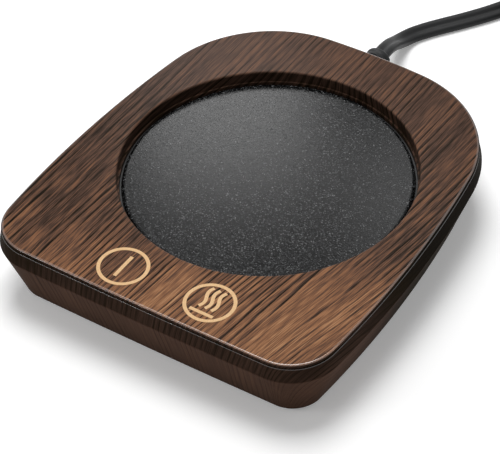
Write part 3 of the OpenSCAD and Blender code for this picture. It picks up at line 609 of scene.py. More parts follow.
def with_holds(profile, reach=0.12, joined=False):
    """Adds a ring close to both ends of each straight run of (kind, size, z) that is over four
    reaches long."""
    result = []
    pairs = list(zip(profile, profile[1:] + profile[:1] if joined else profile[1:]))
    for (kind, size, z), (kind2, size2, z2) in pairs:
        result.append((kind, size, z))
        if kind == kind2:
            run = math.hypot(size2 - size, z2 - z)
            if run > 4 * reach:
                step = np.array([size2 - size, z2 - z]) * reach / run
                result += [(kind, size + step[0], z + step[1]),
                           (kind, size2 - step[0], z2 - step[1])]
        elif {kind, kind2} == {"edge", "well"}:
            result += [(kind, size + reach, z), (kind2, size2 + reach, z2)]
    return result if joined else result + [profile[-1]]


def as_edge(points):
    return [("edge", float(s), float(z)) for s, z in points]


def as_well(points):
    return [("well", float(r), float(z)) for r, z in points]


# %% [markdown]
# ## Top cover
# One skin goes all the way round the cover's section: up the outer band, over the rounded edge,
# across the top face, down the well, round the ledge that carries the plate's seal, and back under
# the top.

# %% Shape of the top cover
SEAM_BEVEL, BAND_INSET, TOP_EDGE_R = 0.25, 0.9, 0.9
GROOVE_H, GROOVE_IN, LIP_R = 0.7, 1.4, 0.2
WELL_RIM_R, WELL_STEP, SLEEVE_R = 0.7, 0.6, 51.25
LEDGE_Z, LEDGE_R, CLAMP_Z = 19.6, 46.05, 16.4
EDGE_Z = CASE_H - TOP_EDGE_R
LIP_Z = EDGE_Z - GROOVE_H
cover_profile = (
    as_edge([(WALL, PARTING_Z), (SEAM_BEVEL, PARTING_Z), (0, PARTING_Z + SEAM_BEVEL)])
    + as_edge(quarter((BAND_INSET + LIP_R, LIP_Z - LIP_R), LIP_R, 180, 90, 4))
    + as_edge([(GROOVE_IN, LIP_Z), (GROOVE_IN, EDGE_Z)])
    + as_edge(quarter((BAND_INSET + TOP_EDGE_R, EDGE_Z), TOP_EDGE_R, 180, 90))
    + as_well(quarter((WELL_R + WELL_RIM_R, CASE_H - WELL_RIM_R), WELL_RIM_R, 90, 180))
    + as_well([(WELL_R, PLATE_Z), (WELL_R - WELL_STEP, PLATE_Z), (WELL_R - WELL_STEP, LEDGE_Z),
               (LEDGE_R, LEDGE_Z), (LEDGE_R, CLAMP_Z), (SLEEVE_R, CLAMP_Z), (SLEEVE_R, UNDER_Z)])
    + as_edge([(WALL, UNDER_Z)])
)
cover_rings = with_holds(cover_profile, joined=True)
cover = new_mesh("wrapped_cover", [skin([ring(*r) for r in cover_rings], joined=True)])
print("cover:", len(cover_rings), "rings")

# %% [markdown]
# ## Lower housing
# The housing tapers in to its base, so from most views it shows as a dark band under the cover.
# Its skin starts under the middle of the floor, goes out and up the wall, over the tongue that
# stands inside the cover, and down the inside to the middle again.

# %% Shape of the lower housing
BASE_EDGE_R = 1.0
TONGUE_IN, TONGUE_T, TONGUE_H, TONGUE_ROOT = 2.35, 1.2, 2.3, 4
bend = BASE_Z + BASE_EDGE_R
base_flat = taper(bend) + BASE_EDGE_R + 0.12
outside_profile = (
    [("scaled", s, BASE_Z) for s in (0.02, 0.3, 0.6)]
    + as_edge([(base_flat, BASE_Z)])
    + as_edge(quarter((taper(bend) + BASE_EDGE_R, bend), BASE_EDGE_R, 270, 180))
    + as_edge([(taper(PARTING_Z - SEAM_BEVEL), PARTING_Z - SEAM_BEVEL), (SEAM_BEVEL, PARTING_Z)])
)
inside_profile = (
    as_edge([(TONGUE_IN, PARTING_Z), (TONGUE_IN, PARTING_Z + TONGUE_H),
             (TONGUE_IN + TONGUE_T, PARTING_Z + TONGUE_H),
             (TONGUE_IN + TONGUE_T, PARTING_Z - TONGUE_ROOT), (taper(FLOOR_Z) + WALL, FLOOR_Z)])
    + [("scaled", s, FLOOR_Z) for s in (0.6, 0.3, 0.02)]
)
housing_rings = with_holds(outside_profile + inside_profile)
housing = new_mesh("wrapped_housing", [skin([ring(*r) for r in housing_rings])])
print("housing:", len(housing_rings), "rings")

# %% [markdown]
# Holes and posts break the row of rings, so they are cut and joined afterwards, as a machinist
# would do it. The exact Boolean solver works on closed tools only, and each tool is taken away
# once its work is done. The result is kept as a plain mesh, and its corners are marked sharp so
# that the flats stay flat.

# %% Cutting and joining
def sharpen(thing, angle=28):
    """Smooth faces, and a sharp edge where two of them turn by more than the angle in degrees."""
    thing.data.shade_smooth()
    thing.data.set_sharp_from_angle(angle=math.radians(angle))


def carve(thing, steps):
    """Each step is an operation, UNION, DIFFERENCE or INTERSECT, and the skins of its tool."""
    for operation, skins in steps:
        step = thing.modifiers.new("step", "BOOLEAN")
        step.solver, step.operation, step.object = "EXACT", operation, new_mesh("tool", skins)
    graph = bpy.context.evaluated_depsgraph_get()
    carved = bpy.data.meshes.new_from_object(thing.evaluated_get(graph))
    tools = [step.object for step in thing.modifiers]
    thing.modifiers.clear()
    thing.data = carved
    for tool in tools:
        bpy.data.objects.remove(tool)
    sharpen(thing)


def level_drum(radius, y0, y1, around=64):
    """A cylinder along the lead's exit: points (r cos a, r sin a) across it, at two places."""
    a = full_turn(around)
    circle = np.stack([EXIT_X + radius * np.cos(a), 0 * a, EXIT_Z + radius * np.sin(a)], 1)
    return skin([circle + [0, y, 0] for y in (y0, y1)])


def block(low, high):
    """A box as a skin of two four-sided rings."""
    (x0, y0, z0), (x1, y1, z1) = low, high
    return skin([[(x0, y0, z), (x1, y0, z), (x1, y1, z), (x0, y1, z)] for z in (z0, z1)])


# %% [markdown]
# Four posts carry the case screws, and four round recesses hold the feet. The lead comes in
# through a round pad in the back wall, with a slot above it, so that the lead can be laid in
# before the case closes. A tool starts a little inside or outside the piece that it works on, so
# that no two faces lie in one plane.

# %% Posts, recesses and the lead's way in
SCREW_GRIP_Z, POST_Z, POST_R = 7.2, 12.0, 4
HOLE_R, HEAD_ROOM_R, PAD_R, GAP = 1.6, 3.1, 7.8, 0.2
BELOW, BEHIND = -1, 90  # a height under the base and a place behind the wall


def swung(radius, degrees):
    """A place at a distance and direction from the right back corner's centre."""
    t = math.radians(degrees)
    return back_corner + radius * np.array([math.cos(t), math.sin(t)])


def mirrored(places):
    return [tuple(p) for p in places] + [(-p[0], p[1]) for p in places]


def stepped(*rows):
    """Profile of a solid that has each (radius, from height, to height) in turn."""
    corners = [(r, z) for r, z0, z1 in rows for z in (z0, z1)]
    return [(0, corners[0][1])] + corners + [(0, corners[-1][1])]


screw_places = mirrored([(49.0, -39.5), swung(27.6, 43)])
foot_places = mirrored([(45.6, -52.6), swung(27.6, 62)])
posts = [turned(stepped((POST_R, BASE_Z + 0.6, POST_Z)), p) for p in screw_places]
bores = [turned(stepped((HEAD_ROOM_R, BELOW, SCREW_GRIP_Z), (HOLE_R, SCREW_GRIP_Z, POST_Z + 1)), p)
         for p in screw_places]
seats = [turned(stepped((FOOT_R + GAP, BELOW, BASE_Z + FOOT_SEAT)), p) for p in foot_places]
slot = block((EXIT_X - NECK_R - GAP, PAD_IN_Y - 2, EXIT_Z), (EXIT_X + NECK_R + GAP, BEHIND, CASE_H))
carve(housing, [
    ("UNION", posts),
    ("UNION", [level_drum(PAD_R, PAD_IN_Y, PAD_FACE_Y)]),
    ("DIFFERENCE", bores),
    ("DIFFERENCE", seats),
    ("DIFFERENCE", [level_drum(NECK_R + GAP, PAD_IN_Y - 2, BEHIND)]),
    ("DIFFERENCE", [level_drum(SHOULDER_R + GAP, PAD_FACE_Y, BEHIND)]),
    ("DIFFERENCE", [slot]),
])
print("housing:", len(housing.data.vertices), "points")

# %% [markdown]
# The cover closes that slot with a tab, which is a piece of the housing's own outside cut to the
# slot's width, with room at its sides. Four bosses under the cover take the screws.

# %% Tab and bosses of the cover
BOSS_R = 3.7
tab = new_mesh("slot_tab", [skin([ring(*r) for r in with_holds(outside_profile)])])
carve(tab, [
    ("INTERSECT", [block((EXIT_X - NECK_R + GAP / 2, PAD_IN_Y, EXIT_Z),
                         (EXIT_X + NECK_R - GAP / 2, BEHIND, CASE_H))]),
    ("DIFFERENCE", [level_drum(NECK_R + GAP, 0, BEHIND)]),
    ("DIFFERENCE", [level_drum(SHOULDER_R + GAP, PAD_FACE_Y, BEHIND)]),
])
bosses = [turned([(HOLE_R, POST_Z + 0.01), (BOSS_R, POST_Z + 0.01), (BOSS_R, UNDER_Z + 0.1),
                  (HOLE_R, UNDER_Z + 0.1)], p) for p in screw_places]
carve(cover, [("UNION", bosses)])
print("cover:", len(cover.data.vertices), "points")

# %% [markdown]
# The wood grain is a film, printed flat and then wrapped over the moulding. To let the pattern
# follow it, each point gets the place on the flat film that it was wrapped from: its own place
# seen from above, moved out over the edge, or in over the rim of the well, by its depth below the
# top face.

# %% Place on the film
def lay_film(thing):
    """film = (x, y) + depth * fold, in millimetres, with depth = CASE_H - z kept as the third
    number. The fold points out of the outline, or towards the well's middle on its wall. The
    printed grain leans more and more to the right front, so x is sheared by 0.02 y +
    0.1 t (y - y^2 / 100), with t = (x + 40) / 100."""
    count = len(thing.data.vertices)
    points = np.empty(count * 3, np.float32)
    thing.data.vertices.foreach_get("co", points)
    points = points.reshape(-1, 3) / MM
    flat = points[:, :2]
    nearest = ((flat[:, None] - rim[None]) ** 2).sum(-1).argmin(1)
    inward = np.array([0, WELL_Y]) - flat
    distance = np.linalg.norm(inward, axis=1, keepdims=True)
    in_well = distance < WELL_R + WELL_RIM_R * 0.9
    fold = np.where(in_well, inward / np.maximum(distance, 1e-6), out[nearest])
    film = np.zeros((count, 3), np.float32)
    film[:, :2] = flat + (CASE_H - points[:, 2:]) * fold
    x, y = film[:, 0].copy(), film[:, 1]
    film[:, 0] = x - 0.02 * y - 0.1 * np.clip((x + 40) / 100, 0, 1.1) * (y - y * y / 100)
    film[:, 2] = CASE_H - points[:, 2]
    place = thing.data.attributes.new("film", "FLOAT_VECTOR", "POINT")
    place.data.foreach_set("vector", film.ravel())


for thing in (cover, tab, housing):
    lay_film(thing)
new_piece("wrapped_cover", cover, "woodgrain_cover", ("top_cover",))
new_piece("slot_tab", tab, "woodgrain_cover")
new_piece("wrapped_housing", housing, "woodgrain_housing", ("bottom_housing",))

# %% [markdown]
# ## Hot plate and feet
# The plate is a turned disc of cast aluminium with a rounded edge, a thicker core over the heater
# and four studs underneath for the clamp's screws.

# %% Hot plate
PLATE_R, PLATE_T, PLATE_EDGE_R = WELL_R - 1.25, 2.1, 1.3
CORE_R, CORE_T, STUD_R, STUD_PITCH_R = 45.05, 1.0, 3.0, 31.0
STUD_ANGLES = (45, 135, 225, 315)
RIM_Z = PLATE_Z - PLATE_T
plate_profile = np.vstack([
    [(0, RIM_Z - CORE_T), (CORE_R, RIM_Z - CORE_T), (CORE_R, RIM_Z), (PLATE_R, RIM_Z)],
    quarter((PLATE_R - PLATE_EDGE_R, PLATE_Z - PLATE_EDGE_R), PLATE_EDGE_R, 0, 90, 12),
    [(PLATE_R - PLATE_EDGE_R - 0.3, PLATE_Z), (PLATE_R * 0.6, PLATE_Z), (0, PLATE_Z)],
])
plate = new_mesh("coated_plate", [turned(plate_profile, (0, WELL_Y), 256)])
studs = [(STUD_PITCH_R * math.cos(t), WELL_Y + STUD_PITCH_R * math.sin(t))
         for t in map(math.radians, STUD_ANGLES)]
carve(plate, [
    ("UNION", [turned(stepped((STUD_R, CLAMP_Z, RIM_Z - CORE_T + 0.3)), p) for p in studs]),
    ("DIFFERENCE", [turned(stepped((HOLE_R, CLAMP_Z - 1, RIM_Z - 0.4)), p) for p in studs]),
])
new_piece("coated_plate", plate, "plate_coating", ("hot_plate",))

# %% [markdown]
# The feet are turned as well, flat underneath and rounded at the rim, and sit in the housing's
# recesses. They and the pieces of the lead get sharp corners where two faces meet at an angle.

# %% Rubber feet
FOOT_EDGE_R, FOOT_TOP_Z = 0.5, FOOT_H + FOOT_SEAT
foot_profile = np.vstack([
    [(0, 0), (3.0, 0)],
    quarter((FOOT_R - FOOT_EDGE_R, FOOT_EDGE_R), FOOT_EDGE_R, 270, 360, 6),
    [(FOOT_R, FOOT_TOP_Z), (0, FOOT_TOP_Z)],
])
feet = new_piece("turned_feet", [turned(foot_profile, p, 64) for p in foot_places], "foot_rubber",
                 ("rubber_feet",))
for thing in (feet, relief, plug, tie):
    sharpen(thing)

# %% [markdown]
# ## Finishes
# ### Wood-grain film
# The case is moulded, then wrapped in a printed walnut film under a clear satin coat. A plain wood
# texture would run on through the sides as if the case were carved, so the print is read from the
# place on the film, in millimetres. One number, the tone, runs from dark wood to light. Growth
# rings come first: the place across the grain, bent by two soft noises, is cut into bands of
# 2.3 mm, and each band darkens towards a thin line, which a third noise fades in and out. On top
# lie noises stretched along the grain: broad zones, streaks, fibres and pores. The print's dots
# are about 0.1 mm apart and too fine to show, so the thinnest fibres are drawn a third of a
# millimetre wide.

# %% Layers of the print
BEND = ((25.0, 120.0, 7.0), (5.0, 50.0, 1.3))  # width, length and reach of each noise, mm
RING_MM, RING_DARK, RING_LIGHT = 2.3, 0.36, 0.2
RING_LINE = (0.5, 0.95)  # part of a band over which it darkens
FADE_MM, FADE = (9.0, 60.0), (0.35, 0.6)
LAYERS = (  # width mm, length mm, detail, noise from and to, tone at each
    (14.0, 110.0, 1.0, 0.36, 0.64, -0.06, 0.06),
    (1.0, 36.0, 2.0, 0.38, 0.62, -0.06, 0.06),
    (0.36, 9.0, 2.0, 0.38, 0.62, -0.14, 0.14),
    (0.33, 15.0, 0.0, 0.55, 0.63, 0.0, -0.06),
)
WALNUT = ((0.0, "110c05"), (0.12, "20180c"), (0.22, "2b2019"), (0.4, "4f3b31"),
          (0.6, "75523d"), (0.8, "966a4b"), (1.0, "b08662"))


def film_grain(tree, film, across):
    """Grain = -RING_DARK * fade * line + the tone of each layer. line runs from -RING_LIGHT to 1
    along a band, whose place is across + the sum of noise * reach."""
    noises = []
    rows = [(*row[:2], 1.0) for row in (*BEND, FADE_MM)] + [row[:3] for row in LAYERS]
    for seed, (wide, long, detail) in enumerate(rows):
        spot = add(tree, "VectorMath", {0: film, 1: (1 / wide, 1 / long, 0),
                                        2: (17.3 * seed, 5.1 * seed, 0)}, operation="MULTIPLY_ADD")
        noises.append(add(tree, "TexNoise", {0: spot, "Scale": 1.0, "Detail": detail,
                                             "Roughness": 0.6}))
    for noise, (_, _, reach) in zip(noises, BEND):
        across = add(tree, "Math", {0: noise, 1: reach, 2: across}, operation="MULTIPLY_ADD")
    band = add(tree, "Math", {0: across, 1: RING_MM}, operation="DIVIDE")
    band = add(tree, "Math", {0: band}, operation="FRACT")
    line = add(tree, "MapRange", span(band, *RING_LINE, -RING_LIGHT, 1.0),
               interpolation_type="SMOOTHSTEP")
    fade = add(tree, "MapRange", span(noises[len(BEND)], *FADE, 0.0, -RING_DARK))
    grain = add(tree, "Math", {0: line, 1: fade}, operation="MULTIPLY")
    for noise, layer in zip(noises[len(BEND) + 1:], LAYERS):
        part = add(tree, "MapRange", span(noise, *layer[3:]))
        grain = add(tree, "Math", {0: grain, 1: part}, operation="ADD")
    return grain


# %% [markdown]
# The film looks different by where it lies. Its grain is stronger towards the right front, and its
# tone lighter there, partly as print and partly as a painted pool of light. Over the edge it is
# shiny, on the band and the housing it is calm and dull, and below the top face, on the edge, the
# band, the well and the housing, it is darker by a painted shade. So one recipe makes four
# finishes.

# %% Wood-grain film
FRONT_RIGHT = (0.35, -0.94, 0)  # direction on the film
CALM_MM, CALM = (-60.0, 60.0), (0.55, 1.3)
# Lighter towards the right front over these distances: partly print, partly a painted pool of
# light.
FRONT_RIGHT_LIGHT_MM, FRONT_RIGHT_LIGHT = (20.0, 70.0), 0.28
# The film darkens over these depths below the top face: painted shade on the sides and in the well.
SIDE_SHADE_MM = (0.08, 0.4)  # depths over which the top face turns into a side


def wood_film(name, level, side_shade, strength, **surface):
    """Tone = level, lighter at the right front, partly as print and partly as a painted pool of
    light,
    + a painted shade on the sides, + the grain times its strength, which is less to the left."""
    material, tree, shader = new_finish(name, **surface)
    film = add(tree, "Attribute", attribute_name="film").outputs["Vector"]
    place = add(tree, "SeparateXYZ", {0: film})
    grain = film_grain(tree, film, place.outputs["X"])
    toward = add(tree, "VectorMath", {0: film, 1: FRONT_RIGHT}, operation="DOT_PRODUCT")
    calm = add(tree, "MapRange", span(toward, *CALM_MM, *(part * strength for part in CALM)))
    tone = add(tree, "MapRange", span(toward, *FRONT_RIGHT_LIGHT_MM, level, level + FRONT_RIGHT_LIGHT),
               interpolation_type="SMOOTHSTEP")
    side = add(tree, "MapRange", span(place.outputs["Z"], *SIDE_SHADE_MM, 0.0, 1.0))
    tone = add(tree, "Math", {0: side, 1: side_shade, 2: tone}, operation="MULTIPLY_ADD")
    tone = add(tree, "Math", {0: grain, 1: calm, 2: tone}, operation="MULTIPLY_ADD")
    add(tree, "ValToRGB", {0: tone}, stops=WALNUT, to=shader.inputs["Base Color"])
    return material


# Each finish below is darker on its sides by a painted shade, and those of the band and the housing
# are darker still, also painted shade.
flat_film = wood_film("satin_walnut_film", level=0.4, side_shade=-0.12, strength=1.0,
                      Roughness=0.3, Specular_IOR_Level=0.03)
edge_film = wood_film("walnut_film_drawn_over_edge", level=0.45, side_shade=-0.4, strength=0.5,
                      Roughness=0.18, Specular_IOR_Level=0.8)
band_film = wood_film("walnut_film_on_band", level=0.44, side_shade=-0.44, strength=0.22,
                      Roughness=0.5, Specular_IOR_Level=0.008)
base_film = wood_film("walnut_film_on_housing", level=0.23, side_shade=-0.12, strength=0.16,
                      Roughness=0.5, Specular_IOR_Level=0.005)
finish = {"woodgrain_cover": flat_film, "woodgrain_housing": base_film}
print("film finishes:", [film.name for film in (flat_film, edge_film, band_film, base_film)])

# %% [markdown]
# ### Plate coating
# The plate is cast aluminium, sprayed with a heat-proof charcoal enamel that holds metal flakes.
# Each cell of its grain has a grey and a roughness of its own, many are bright flakes, and soft
# pebbles break up the sheen. Real flakes are about 0.1 mm across and too fine to show, so they
# are drawn about a third of a millimetre across.

# %% Plate coating
def flaked_enamel(name, greys, grain_mm, rough, pebble_mm, **surface):
    """Grey = a random number for each cell times a soft noise. Roughness = rough +- 0.1 by the
    same number. Height = 3 times the noise + the distance in the cell."""
    material, tree, shader = new_finish(name, **surface)
    place = add(tree, "TexCoord").outputs["Object"]
    scale = 1 / (grain_mm * MM)
    cell = add(tree, "TexVoronoi", {0: place, "Scale": scale})
    chance = add(tree, "SeparateColor", {0: cell.outputs["Color"]})
    pebble = add(tree, "TexNoise", {0: place, "Scale": scale, "Detail": 2.0})
    grey = add(tree, "Math", {0: chance, 1: pebble}, operation="MULTIPLY")
    add(tree, "ValToRGB", {0: grey}, stops=greys, to=shader.inputs["Base Color"])
    add(tree, "MapRange", {0: chance, 3: rough - 0.1, 4: rough + 0.1},
        to=shader.inputs["Roughness"])
    relief = add(tree, "Math", {0: pebble, 1: 3.0, 2: cell.outputs["Distance"]},
                 operation="MULTIPLY_ADD")
    add(tree, "Bump", {"Height": relief, "Strength": 0.6, "Distance": pebble_mm * MM},
        to=shader.inputs["Normal"])
    return material


finish["plate_coating"] = flaked_enamel(
    "charcoal_flake_enamel",
    ((0.0, "000000"), (0.3, "0a0b0c"), (0.42, "202122"), (0.54, "464748"), (0.62, "747576")),
    grain_mm=0.36, rough=0.2, pebble_mm=0.014, Specular_IOR_Level=0.12)
print("plate finish:", finish["plate_coating"].name)

# %% [markdown]
# ### Moulded, dipped and printed pieces
# Most small pieces are moulded plastic or rubber. What the eye reads is a close pair of tones, a
# fine grain from the mould, and how far the gloss is broken up, so one recipe serves them all. On
# felt the grain is stretched along one axis. Mould grain is 0.05 to 0.1 mm and too fine to show, so
# it is drawn several times as coarse.

# %% Moulded finishes
def grained(name, dark, light, grain_mm, bump_mm, stretch=(1, 1, 1), detail=3.0, strength=0.6,
            **surface):
    """Colour from dark to light, and height up to bump_mm, by one noise whose grain is grain_mm
    times stretch."""
    material, tree, shader = new_finish(name, **surface)
    place = add(tree, "TexCoord").outputs["Object"]
    scale = tuple(1 / (grain_mm * MM * s) for s in stretch)
    spot = add(tree, "VectorMath", {0: place, 1: scale}, operation="MULTIPLY")
    noise = add(tree, "TexNoise", {0: spot, "Scale": 1.0, "Detail": detail})
    add(tree, "ValToRGB", {0: noise}, stops=((0.3, dark), (0.7, light)),
        to=shader.inputs["Base Color"])
    add(tree, "Bump", {"Height": noise, "Strength": strength, "Distance": bump_mm * MM},
        to=shader.inputs["Normal"])
    return material, tree, shader, noise


MOULDED = (  # slot, name, dark, light, grain mm, its height mm, roughness
    # Screen-printed metallic ink: dry and even, with the faint mesh of the screen.
    ("key_print", "gold_screen_ink", "cda067", "deb684", 0.3, 0.01, 0.5),
    # Compression-moulded silicone and foot rubber: matt black with a dusty bloom.
    ("silicone", "moulded_silicone", "121212", "1c1c1c", 0.8, 0.02, 0.65),
    ("foot_rubber", "foot_rubber", "141414", "232323", 0.6, 0.05, 0.75),
    # Dipped epoxy bead, smooth and shiny, and a body of fired ceramic, smooth and dull.
    ("thermistor_bead", "dipped_epoxy", "b9611c", "d07a2e", 1.5, 0.03, 0.2),
    ("fuse_ceramic", "fired_ceramic", "cfc8b2", "ddd7c6", 0.7, 0.01, 0.45),
    # Moulded box and shrunk sleeve of the two capacitors, and the chips' moulded black epoxy.
    ("capacitor_box", "pbt_box", "c29a26", "ceaa3a", 0.8, 0.02, 0.4),
    ("capacitor_can", "shrink_sleeve", "1c2b47", "27385a", 1.2, 0.02, 0.3),
    ("chip_epoxy", "moulding_epoxy", "131313", "1e1e1e", 0.3, 0.02, 0.6),
    # Moulded nylon terminals; the wires' extruded PVC, and glass sleeve with its braid.
    ("white_nylon", "natural_nylon", "d6d5ce", "e4e3dd", 0.7, 0.02, 0.5),
    ("wire_black", "black_wire_pvc", "141414", "202020", 0.6, 0.02, 0.4),
    ("wire_red", "red_wire_pvc", "85130e", "9c1d16", 0.6, 0.02, 0.4),
    ("wire_white", "glass_sleeve", "cfcec8", "e6e5e0", 0.35, 0.06, 0.7),
)
for slot_name, *look, rough in MOULDED:
    finish[slot_name] = grained(*look, Roughness=rough)[0]
# Soft PVC, extruded on the lead and moulded on the plug: satin black, paler where it catches light.
finish["black_pvc"] = grained("satin_soft_pvc", "0d0e0f", "161718", 0.5, 0.03, Roughness=0.5,
                              Specular_IOR_Level=0.25)[0]
# Needled ceramic felt: tangled white fibres, no gloss.
finish["fibre_pad"] = grained("ceramic_felt", "cfcdc2", "eae8de", 0.5, 0.2, (3, 1, 1),
                              Roughness=0.95)[0]
# Clear moulded lens: light goes through it, slightly spread by the mould's grain.
finish["light_lens"] = grained("clear_acrylic", "e5dfae", "f2eec8", 1.0, 0.01, Roughness=0.15,
                               Transmission_Weight=0.8, IOR=1.49)[0]
# Brown ABS as it leaves the mould, dull, where the film has ended under the base.
bare = grained("bare_brown_moulding", "1f1610", "281d16", 0.6, 0.03, Roughness=0.55)[0]
print("finishes so far:", len(finish))

# %% [markdown]
# ### Metals
# A metal shows what is around it, so its look lies in its roughness. Stamping and drawing leave
# fine lines along one axis; a stretched noise moves the roughness up and down across them and cuts
# a slight relief. Real lines are about 0.05 mm apart and too fine to show, so they are drawn 0.25
# to 0.4 mm apart.

# %% Metal finishes
def drawn_metal(name, dark, light, rough, line_mm, stretch):
    """A grained metal whose roughness is rough +- 0.08 by the same noise."""
    material, tree, shader, noise = grained(name, dark, light, line_mm, 0.01, stretch, detail=2.0,
                                            strength=0.3, Metallic=1.0)
    add(tree, "MapRange", {0: noise, 3: rough - 0.08, 4: rough + 0.08},
        to=shader.inputs["Roughness"])
    return material


METALS = (  # slot, name, dark, light, roughness, line mm, stretch
    # Zinc plate on stamped steel is a cool grey; nickel on the blades is warmer and smoother.
    ("zinc_steel", "zinc_plated_steel", "9b9c9a", "b4b5b3", 0.35, 0.4, (6, 1, 6)),
    ("blade_metal", "nickel_plated_brass", "b3b0a8", "cac7c0", 0.22, 0.25, (1, 12, 1)),
    # An extruded heat sink keeps the lines of its die; gold-plated spring wire is bright.
    ("heat_sink_alloy", "extruded_aluminium", "b4b5b8", "c9cacc", 0.4, 0.3, (10, 1, 1)),
    ("spring_brass", "gold_plated_wire", "c29c50", "d4b067", 0.25, 0.3, (1, 1, 4)),
)
for slot_name, *look in METALS:
    finish[slot_name] = drawn_metal(*look)
print("finishes so far:", len(finish))

# %% [markdown]
# ### Heater film and control board
# Both are etched: foil or copper is left as tracks under an amber film, or under a green mask. The
# heater's track runs in rings 3 mm apart round the plate's middle, as turns of a flat coil do; the
# board's copper areas are cells about 3.5 mm across, parted by thin gaps.

# %% Etched finishes
TRACK_MM, CELL_MM = 3, 3.5
WAVE_TURN = 20  # a wave texture turns by 20 radians times its scale in each metre


def etched(name, ground, track, edge, **surface):
    """Starts a finish that is ground where the pattern is below edge and track where it is above,
    and 0.03 mm higher there."""
    material, tree, shader = new_finish(name, **surface)
    place = add(tree, "TexCoord").outputs["Object"]
    cover = add(tree, "MapRange", {1: edge[0], 2: edge[1]})
    add(tree, "ValToRGB", {0: cover}, stops=((0.0, ground), (1.0, track)),
        to=shader.inputs["Base Color"])
    add(tree, "Bump", {"Height": cover, "Strength": 0.5, "Distance": 0.03 * MM},
        to=shader.inputs["Normal"])
    return material, tree, place, cover.inputs[0]


finish["heater_foil"], tree, place, tracks = etched("amber_polyimide", "b3701f", "7d5a38",
                                                    edge=(0.45, 0.55), Roughness=0.35)
around_plate = add(tree, "VectorMath", {0: place, 1: (0, -WELL_Y * MM, 0)}, operation="ADD")
scale = 2 * math.pi / (WAVE_TURN * TRACK_MM * MM)
rings = add(tree, "TexWave", {0: around_plate, "Scale": scale}, wave_type="RINGS",
            rings_direction="Z", wave_profile="TRI")
tree.links.new(rings.outputs["Fac"], tracks)

finish["board_laminate"], tree, place, copper = etched("solder_mask", "15401f", "2b6a3a",
                                                       edge=(0.06, 0.1), Roughness=0.3)
gaps = add(tree, "TexVoronoi", {0: place, "Scale": 1 / (CELL_MM * MM), "Randomness": 0.6},
           feature="DISTANCE_TO_EDGE")
tree.links.new(gaps.outputs["Distance"], copper)
print("finishes:", len(finish))

# %% [markdown]
# Each measured part says which finish it takes in the model's own record, and so does each new
# piece. The cover takes two more: the film shines where it is drawn over the outer edge and over
# the lip below the groove, and is dull on the band. Underneath, the film has ended and the bare
# brown moulding shows.

# %% Give each piece its finish
def face_middles(thing):
    """Middle of each face, in millimetres, in an array of shape (faces, 3)."""
    middles = np.empty(len(thing.data.polygons) * 3, np.float32)
    thing.data.polygons.foreach_get("center", middles)
    return middles.reshape(-1, 3) / MM


def more_finishes(thing, finishes, kind):
    """Adds finishes after the first. kind says which each face takes, with 0 for the first."""
    for material in finishes:
        thing.data.materials.append(material)
    thing.data.polygons.foreach_set("material_index", kind.astype(np.int32))
    print(thing.name, "faces by finish:", np.bincount(kind).tolist())


for part in frame["record"]["subparts"]:
    frame["nodes"][part["node"]]["finish"] = part["material_slot"]
for thing in bpy.data.objects:
    slot_name = thing.get("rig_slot") or thing.get("finish")
    if slot_name:
        thing.data.materials.clear()
        thing.data.materials.append(finish[slot_name])

# %% Finishes of the cover's edge and of the base
SHINE_FROM, SHINE_TO = 0.003, 0.3  # depths below the top face
middles = face_middles(cover)
depth = CASE_H - middles[:, 2]
outside = np.hypot(middles[:, 0], middles[:, 1] - WELL_Y) > WELL_R + 1
on_lip = abs(depth - (CASE_H - LIP_Z + LIP_R / 2)) < LIP_R / 2 + 0.02
drawn_over = (depth < SHINE_TO) | on_lip
more_finishes(cover, [edge_film, band_film],
              np.where(outside & (depth > SHINE_FROM), np.where(drawn_over, 1, 2), 0))
more_finishes(housing, [bare], np.where(face_middles(housing)[:, 2] < BASE_Z + 0.05, 1, 0))

# %% [markdown]
# ## Floor and light
# The table is plain white and keeps the shadow that the lamps cast. What the camera sees of it
# directly, or in gloss or glass, glows up to white further out and only a little near the object,
# which is a painted shade round it. The surroundings are white there too, so that a metal shows a
# white studio. As a source of light they are a soft grey, so that the lamps shape the object.

# %% What is in view
def in_view(tree):
    """1 for rays from the camera, off a glossy surface or through glass, and 0 for diffuse and
    shadow rays."""
    path = add(tree, "LightPath").outputs
    seen = add(tree, "Math", {0: path["Is Camera Ray"], 1: path["Is Glossy Ray"]}, operation="ADD")
    return add(tree, "Math", {0: seen, 1: path["Is Transmission Ray"]}, operation="ADD",
               use_clamp=True)


# %% Floor
HALF_FLOOR = 3
# The table glows less near the object than further out: a painted shade round it, over the shadow
# that the lamps cast.
WHITE_FAR_SHADE_NEAR_M, WHITE_FAR_SHADE_NEAR_GLOW = (0.3, 1.2), (0.22, 1.0)  # metres from the middle, and the lift at each
floor_mesh = bpy.data.meshes.new("table_top")
floor_mesh.from_pydata([(x * HALF_FLOOR, y * HALF_FLOOR, 0)
                        for x, y in ((-1, -1), (1, -1), (1, 1), (-1, 1))], [], [(0, 1, 2, 3)])
floor = bpy.data.objects.new("table_top", floor_mesh)
bpy.context.collection.objects.link(floor)
white = bpy.data.materials.new("white_table")
tree = empty_tree(white)
matt = add(tree, "BsdfDiffuse", {"Color": swatch("fcfcfc")})
place = add(tree, "TexCoord").outputs["Object"]
away = add(tree, "VectorMath", {0: place}, operation="LENGTH")
lift = add(tree, "MapRange", span(away, *WHITE_FAR_SHADE_NEAR_M, *WHITE_FAR_SHADE_NEAR_GLOW))
lift = add(tree, "Math", {0: in_view(tree), 1: lift}, operation="MULTIPLY")
glow = add(tree, "Emission", {"Color": swatch("ffffff"), "Strength": lift})
both = add(tree, "AddShader", {0: matt.outputs[0], 1: glow.outputs[0]})
add(tree, "OutputMaterial", {"Surface": both.outputs[0]})
floor_mesh.materials.append(white)
print("floor:", 2 * HALF_FLOOR, "m wide")

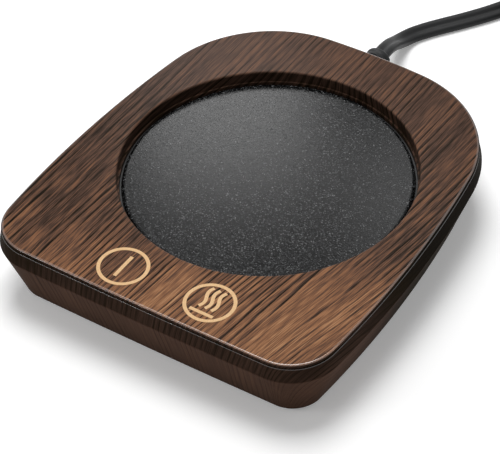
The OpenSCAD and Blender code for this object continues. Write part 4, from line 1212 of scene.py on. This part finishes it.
# %% World
AS_LIGHT, AS_SEEN = 0.25, 1.0
world = bpy.data.worlds.new("studio")
bpy.context.scene.world = world
tree = empty_tree(world)
strength = add(tree, "MapRange", {0: in_view(tree), 3: AS_LIGHT, 4: AS_SEEN})
back = add(tree, "Background", {"Color": swatch("ffffff"), "Strength": strength})
add(tree, "OutputWorld", {"Surface": back.outputs[0]})
print("surroundings:", AS_LIGHT, "as light,", AS_SEEN, "as seen")

# %% [markdown]
# A large softbox overhead lights the object evenly. Two small lamps stand where the plate mirrors
# them to the camera and give it its sheen, and two narrow strips draw a line of light on the film's
# edges.

# %% Lamps
def softbox(name, spot, direction, distance, width, height, power):
    """A rectangular lamp at a distance along a direction from a spot, facing the spot."""
    light = bpy.data.lights.new(name, "AREA")
    light.shape, light.size, light.size_y, light.energy = "RECTANGLE", width, height, power
    lamp = bpy.data.objects.new(name, light)
    z = np.array(direction) / np.linalg.norm(direction)
    x = np.cross([0, 0, 1], z)
    x /= np.linalg.norm(x)
    y = np.cross(z, x)
    place = np.array(spot) + z * distance
    lamp.matrix_world = Matrix([(x[i], y[i], z[i], place[i]) for i in range(3)] + [(0, 0, 0, 1)])
    bpy.context.collection.objects.link(lamp)
    return lamp


# Spot, direction, distance, width and height in metres, power in watts.
softbox("overhead_softbox", (0, 0, 0.02), (-0.14, 0.15, 0.97), 0.8, 0.44, 0.44, 4.6)
softbox("plate_sheen_lamp", (-0.05, 0.045, 0.022), (-0.42, 0.60, 0.68), 0.28, 0.08, 0.08, 0.19)
softbox("plate_right_lamp", (0.055, 0.03, 0.022), (-0.42, 0.60, 0.68), 0.28, 0.05, 0.05, 0.035)
softbox("front_left_strip", (-0.06, -0.07, 0.02), (-0.42, -0.68, 0.6), 0.4, 0.15, 0.02, 0.2)
softbox("back_right_strip", (0.06, 0, 0.02), (0.5, 0.6, 0.6), 0.6, 0.4, 0.03, 0.05)
print("lamps:", len(bpy.data.lights))

# %% [markdown]
# Colours are shown as they are, with no film look.

# %% Colour handling
bpy.context.scene.view_settings.view_transform = "Standard"
